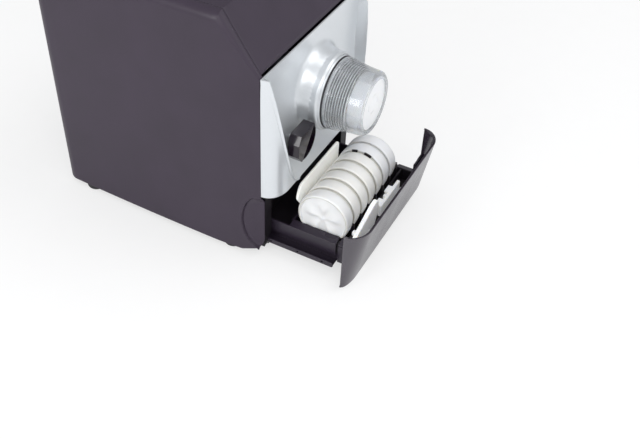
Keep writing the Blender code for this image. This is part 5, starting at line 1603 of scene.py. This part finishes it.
def makeLid():
    half, low = lid["half"], lid["under"]
    rim = filleted([(-half, seam + lid["front"]), (half, seam + lid["front"]), (half, seam + lid["rear"]),
                    (-half, seam + lid["rear"])], lid["corner"], 8)
    slotY = seam + lid["slotY"]
    slot = filleted([(-lid["slotHalf"], slotY - lid["slotRun"]), (lid["slotHalf"], slotY - lid["slotRun"]),
                     (lid["slotHalf"], slotY + lid["slotRun"]), (-lid["slotHalf"], slotY + lid["slotRun"])],
                    0.0020, 5)
    plate = slab("bowlLid", [rim, slot], lid["wall"], (0, 0, low + lid["wall"] / 2), "XY", 0.0007, 3)
    outer = filleted([(-lid["skirtHalf"], seam + lid["skirtFront"]), (lid["skirtHalf"], seam + lid["skirtFront"]),
                      (lid["skirtHalf"], seam + lid["skirtRear"]), (-lid["skirtHalf"], seam + lid["skirtRear"])],
                     0.0040, 6)
    thin = lid["wall"]
    inner = filleted([(-lid["skirtHalf"] + thin, seam + lid["skirtFront"] + thin),
                      (lid["skirtHalf"] - thin, seam + lid["skirtFront"] + thin),
                      (lid["skirtHalf"] - thin, seam + lid["skirtRear"] - thin),
                      (-lid["skirtHalf"] + thin, seam + lid["skirtRear"] - thin)], 0.0020, 6)
    skirt = slab("lidSkirt", [outer, inner], lid["drop"] + 0.0006, (0, 0, low + 0.0006 - (lid["drop"] + 0.0006) / 2),
                 "XY", 0.0004)
    pull = filleted([(-lid["handleHalf"], seam + lid["front"] - lid["handleReach"]),
                     (lid["handleHalf"], seam + lid["front"] - lid["handleReach"]),
                     (lid["handleHalf"], seam + lid["front"] + 0.0030),
                     (-lid["handleHalf"], seam + lid["front"] + 0.0030)], 0.0030, 6)
    handle = slab("lidHandle", [pull], lid["wall"], (0, 0, low + lid["wall"] / 2 - 0.00001), "XY", 0.0006)
    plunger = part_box("lid_switch_plunger")
    middle = (plunger[0] + plunger[1]) / 2
    ear = filleted([(half - 0.0030, middle.y - 0.0050), (plunger[1].x, middle.y - 0.0050),
                    (plunger[1].x, middle.y + 0.0050), (half - 0.0030, middle.y + 0.0050)], 0.0022, 6)
    tab = slab("lidTab", [ear], lid["wall"], (0, 0, low + lid["wall"] / 2 - 0.00002), "XY", 0.0006)
    shapes = [plate, skirt, handle, tab]
    hingeY, hingeZ = seam + hood["hingeY"], hood["hingeZ"]
    for sign in (-1, 1):
        place = (sign * lid["lugX"], 0, 0)
        shapes.append(slab("lidLug", [circleOf(lid["knuckle"], (hingeY, hingeZ), 40)], lid["lugWidth"], place,
                           "YZ", 0.0005))
        arm = [(seam + lid["rear"] - 0.0030, low + 0.0002), (hingeY, low + 0.0002), (hingeY, low + lid["wall"] - 0.0002),
               (seam + lid["rear"] - 0.0030, low + lid["wall"] - 0.0002)]
        shapes.append(slab("lidArm", [arm], lid["lugWidth"] - 0.0006, place, "YZ", 0.0003))
    whole = fused("bowlLid", shapes[0], *shapes[1:])
    bore = turned("lidBore", [(0.0001, -0.050), (0.0025, -0.050), (0.0025, 0.050), (0.0001, 0.050)],
                  (0, hingeY, hingeZ), 32, "x")
    whole = fused("bowlLid", whole, bore, operation="DIFFERENCE")
    addPiece("bowlLid", whole, finishes["lid"], "lid", ("bowl_lid",))
    pin = filleted([(0.0001, -0.0400), (0.0020, -0.0400), (0.0020, 0.0400), (0.0001, 0.0400)], 0.0004)
    addPiece("hingePin", turned("hingePin", pin, (0, hingeY, hingeZ), 32, "x"), finishes["steel"], "body",
             ("lid_hinge_pin",))
    low, high = plunger[0].z, plunger[1].z
    stem = filleted([(0.0001, low), (0.0030, low), (0.0030, high - 0.0008), (0.0022, high), (0.0001, high)], 0.0004)
    addPiece("switchPlunger", turned("switchPlunger", stem, (middle.x, middle.y, 0), 40, "z"),
             finishes["black"], "plunger", ("lid_switch_plunger",))


makeBowl()
makeLid()
print("bowl and lid built")


# Tools and plate stood in the drawer

def makePlate():
    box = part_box("scraper_plate")
    low, high = box
    loop = filleted([(low.x + 0.030, low.z), (high.x, low.z), (high.x, high.z), (low.x + 0.006, high.z),
                     (low.x, high.z - 0.012), (low.x, high.z - 0.017)], 0.0060, 8)
    middle = (low.y + high.y) / 2
    mesh = slab("scraperPlate", [loop], (high.y - low.y) * 0.7, (0, middle, 0), edge=0.0010, steps=4)
    addPiece("scraperPlate", mesh, finishes["plate"], "drawer", ("scraper_plate",))


tools = {
    "key": ((0.00, 0.00), (0.90, 0.00), (1.00, 0.40), (1.00, 0.90), (0.94, 1.00), (0.80, 1.00), (0.10, 0.60),
            (0.00, 0.46)),
    "keyTab": ((0.16, 0.26), (0.34, 0.52), 0.0042),  # along, up, and how far towards the discs
    "comb": ((0.00, 0.00), (1.00, 0.00), (1.00, 0.78), (0.74, 0.78), (0.74, 1.75), (0.50, 1.75), (0.50, 0.78),
             (0.42, 0.78), (0.42, 1.30), (0.35, 1.30), (0.35, 0.78), (0.25, 0.78), (0.25, 1.80), (0.06, 1.80),
             (0.06, 0.78), (0.00, 0.78)),
    "combHeight": 0.0150,
}


def makeTools():
    low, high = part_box("die_key")
    size = high - low
    middle = (low.y + high.y) / 2
    outline = [(low.x + size.x * u, low.z + size.z * v) for u, v in tools["key"]]
    bar = slab("dieKey", [filleted(outline, 0.0024, 5)], size.y, (0, middle, 0), edge=0.0010, steps=3)
    along, up, reach = tools["keyTab"]
    tab = block("keyTab", (low.x + size.x * along[0], high.y - 0.0006, low.z + size.z * up[0]),
                (low.x + size.x * along[1], high.y + reach, low.z + size.z * up[1]), 0.0008, 3)
    addPiece("dieKey", joined("dieKey", bar, tab), finishes["tool"], "drawer", ("die_key",))
    low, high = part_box("cleaning_comb")
    size = high - low
    outline = [(low.x + size.x * u, low.y + size.y * v) for u, v in tools["comb"]]
    place = (0, 0, low.z + tools["combHeight"] / 2)
    comb = slab("cleaningComb", [filleted(outline, 0.0010, 4)], tools["combHeight"], place, "XY", 0.0007, 3)
    addPiece("cleaningComb", comb, finishes["tool"], "drawer", ("cleaning_comb",))


makePlate()
makeTools()
print("plate and tools built")


# Everything of the frame that shows as it is

asBuilt = {
    "top_hood": "shell", "rear_cover": "shell", "base_plate": "black", "drawer_bay": "black",
    "foot_front_left": "rubber", "foot_front_right": "rubber", "foot_rear_left": "rubber",
    "foot_rear_right": "rubber", "runner_left": "steel", "runner_right": "steel",
    "barrel_collar": "silver", "extrusion_barrel": "white", "die_nut": "clear",
    "fitted_die": "white", "selector_knob": "knob", "selector_shaft": "steel",
    "selector_switch": "black", "drawer_front": "drawer", "drawer_screw_left": "steel",
    "drawer_screw_right": "steel", "drawer_tray": "drawer", "scraper_plate": "ivory",
    "die_key": "white", "cleaning_comb": "white", "stored_die_1": "pale", "stored_die_2": "ivory",
    "stored_die_3": "ivory", "stored_die_4": "ivory", "stored_die_5": "ivory",
    "stored_die_6": "white", "stored_die_7": "white", "mixing_bowl": "smoked", "bowl_lid": "lid",
    "lid_hinge_pin": "steel", "lid_switch": "black", "lid_switch_plunger": "black",
    "mixing_paddle": "white", "auger": "white", "output_shaft": "steel", "output_gear": "white",
    "layshaft": "steel", "layshaft_gear": "white", "layshaft_pinion": "steel",
    "motor_pinion": "steel", "gear_case": "cast", "gear_cover": "cast", "motor_housing": "cast",
    "motor_cap": "cast", "stator": "winding", "rotor": "steel", "bearing_front": "steel",
    "bearing_rear": "steel", "cooling_fan": "black", "control_board": "board",
    "capacitor": "cast", "cord_inlet": "rubber",
}


def dressFrame():
    for name, finish in asBuilt.items():
        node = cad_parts[name]
        if not node.material_slots:
            node.data.materials.append(finishes[finish])
        for each in node.material_slots:
            each.material = finishes[finish]


dressFrame()
print("rest of the frame dressed")
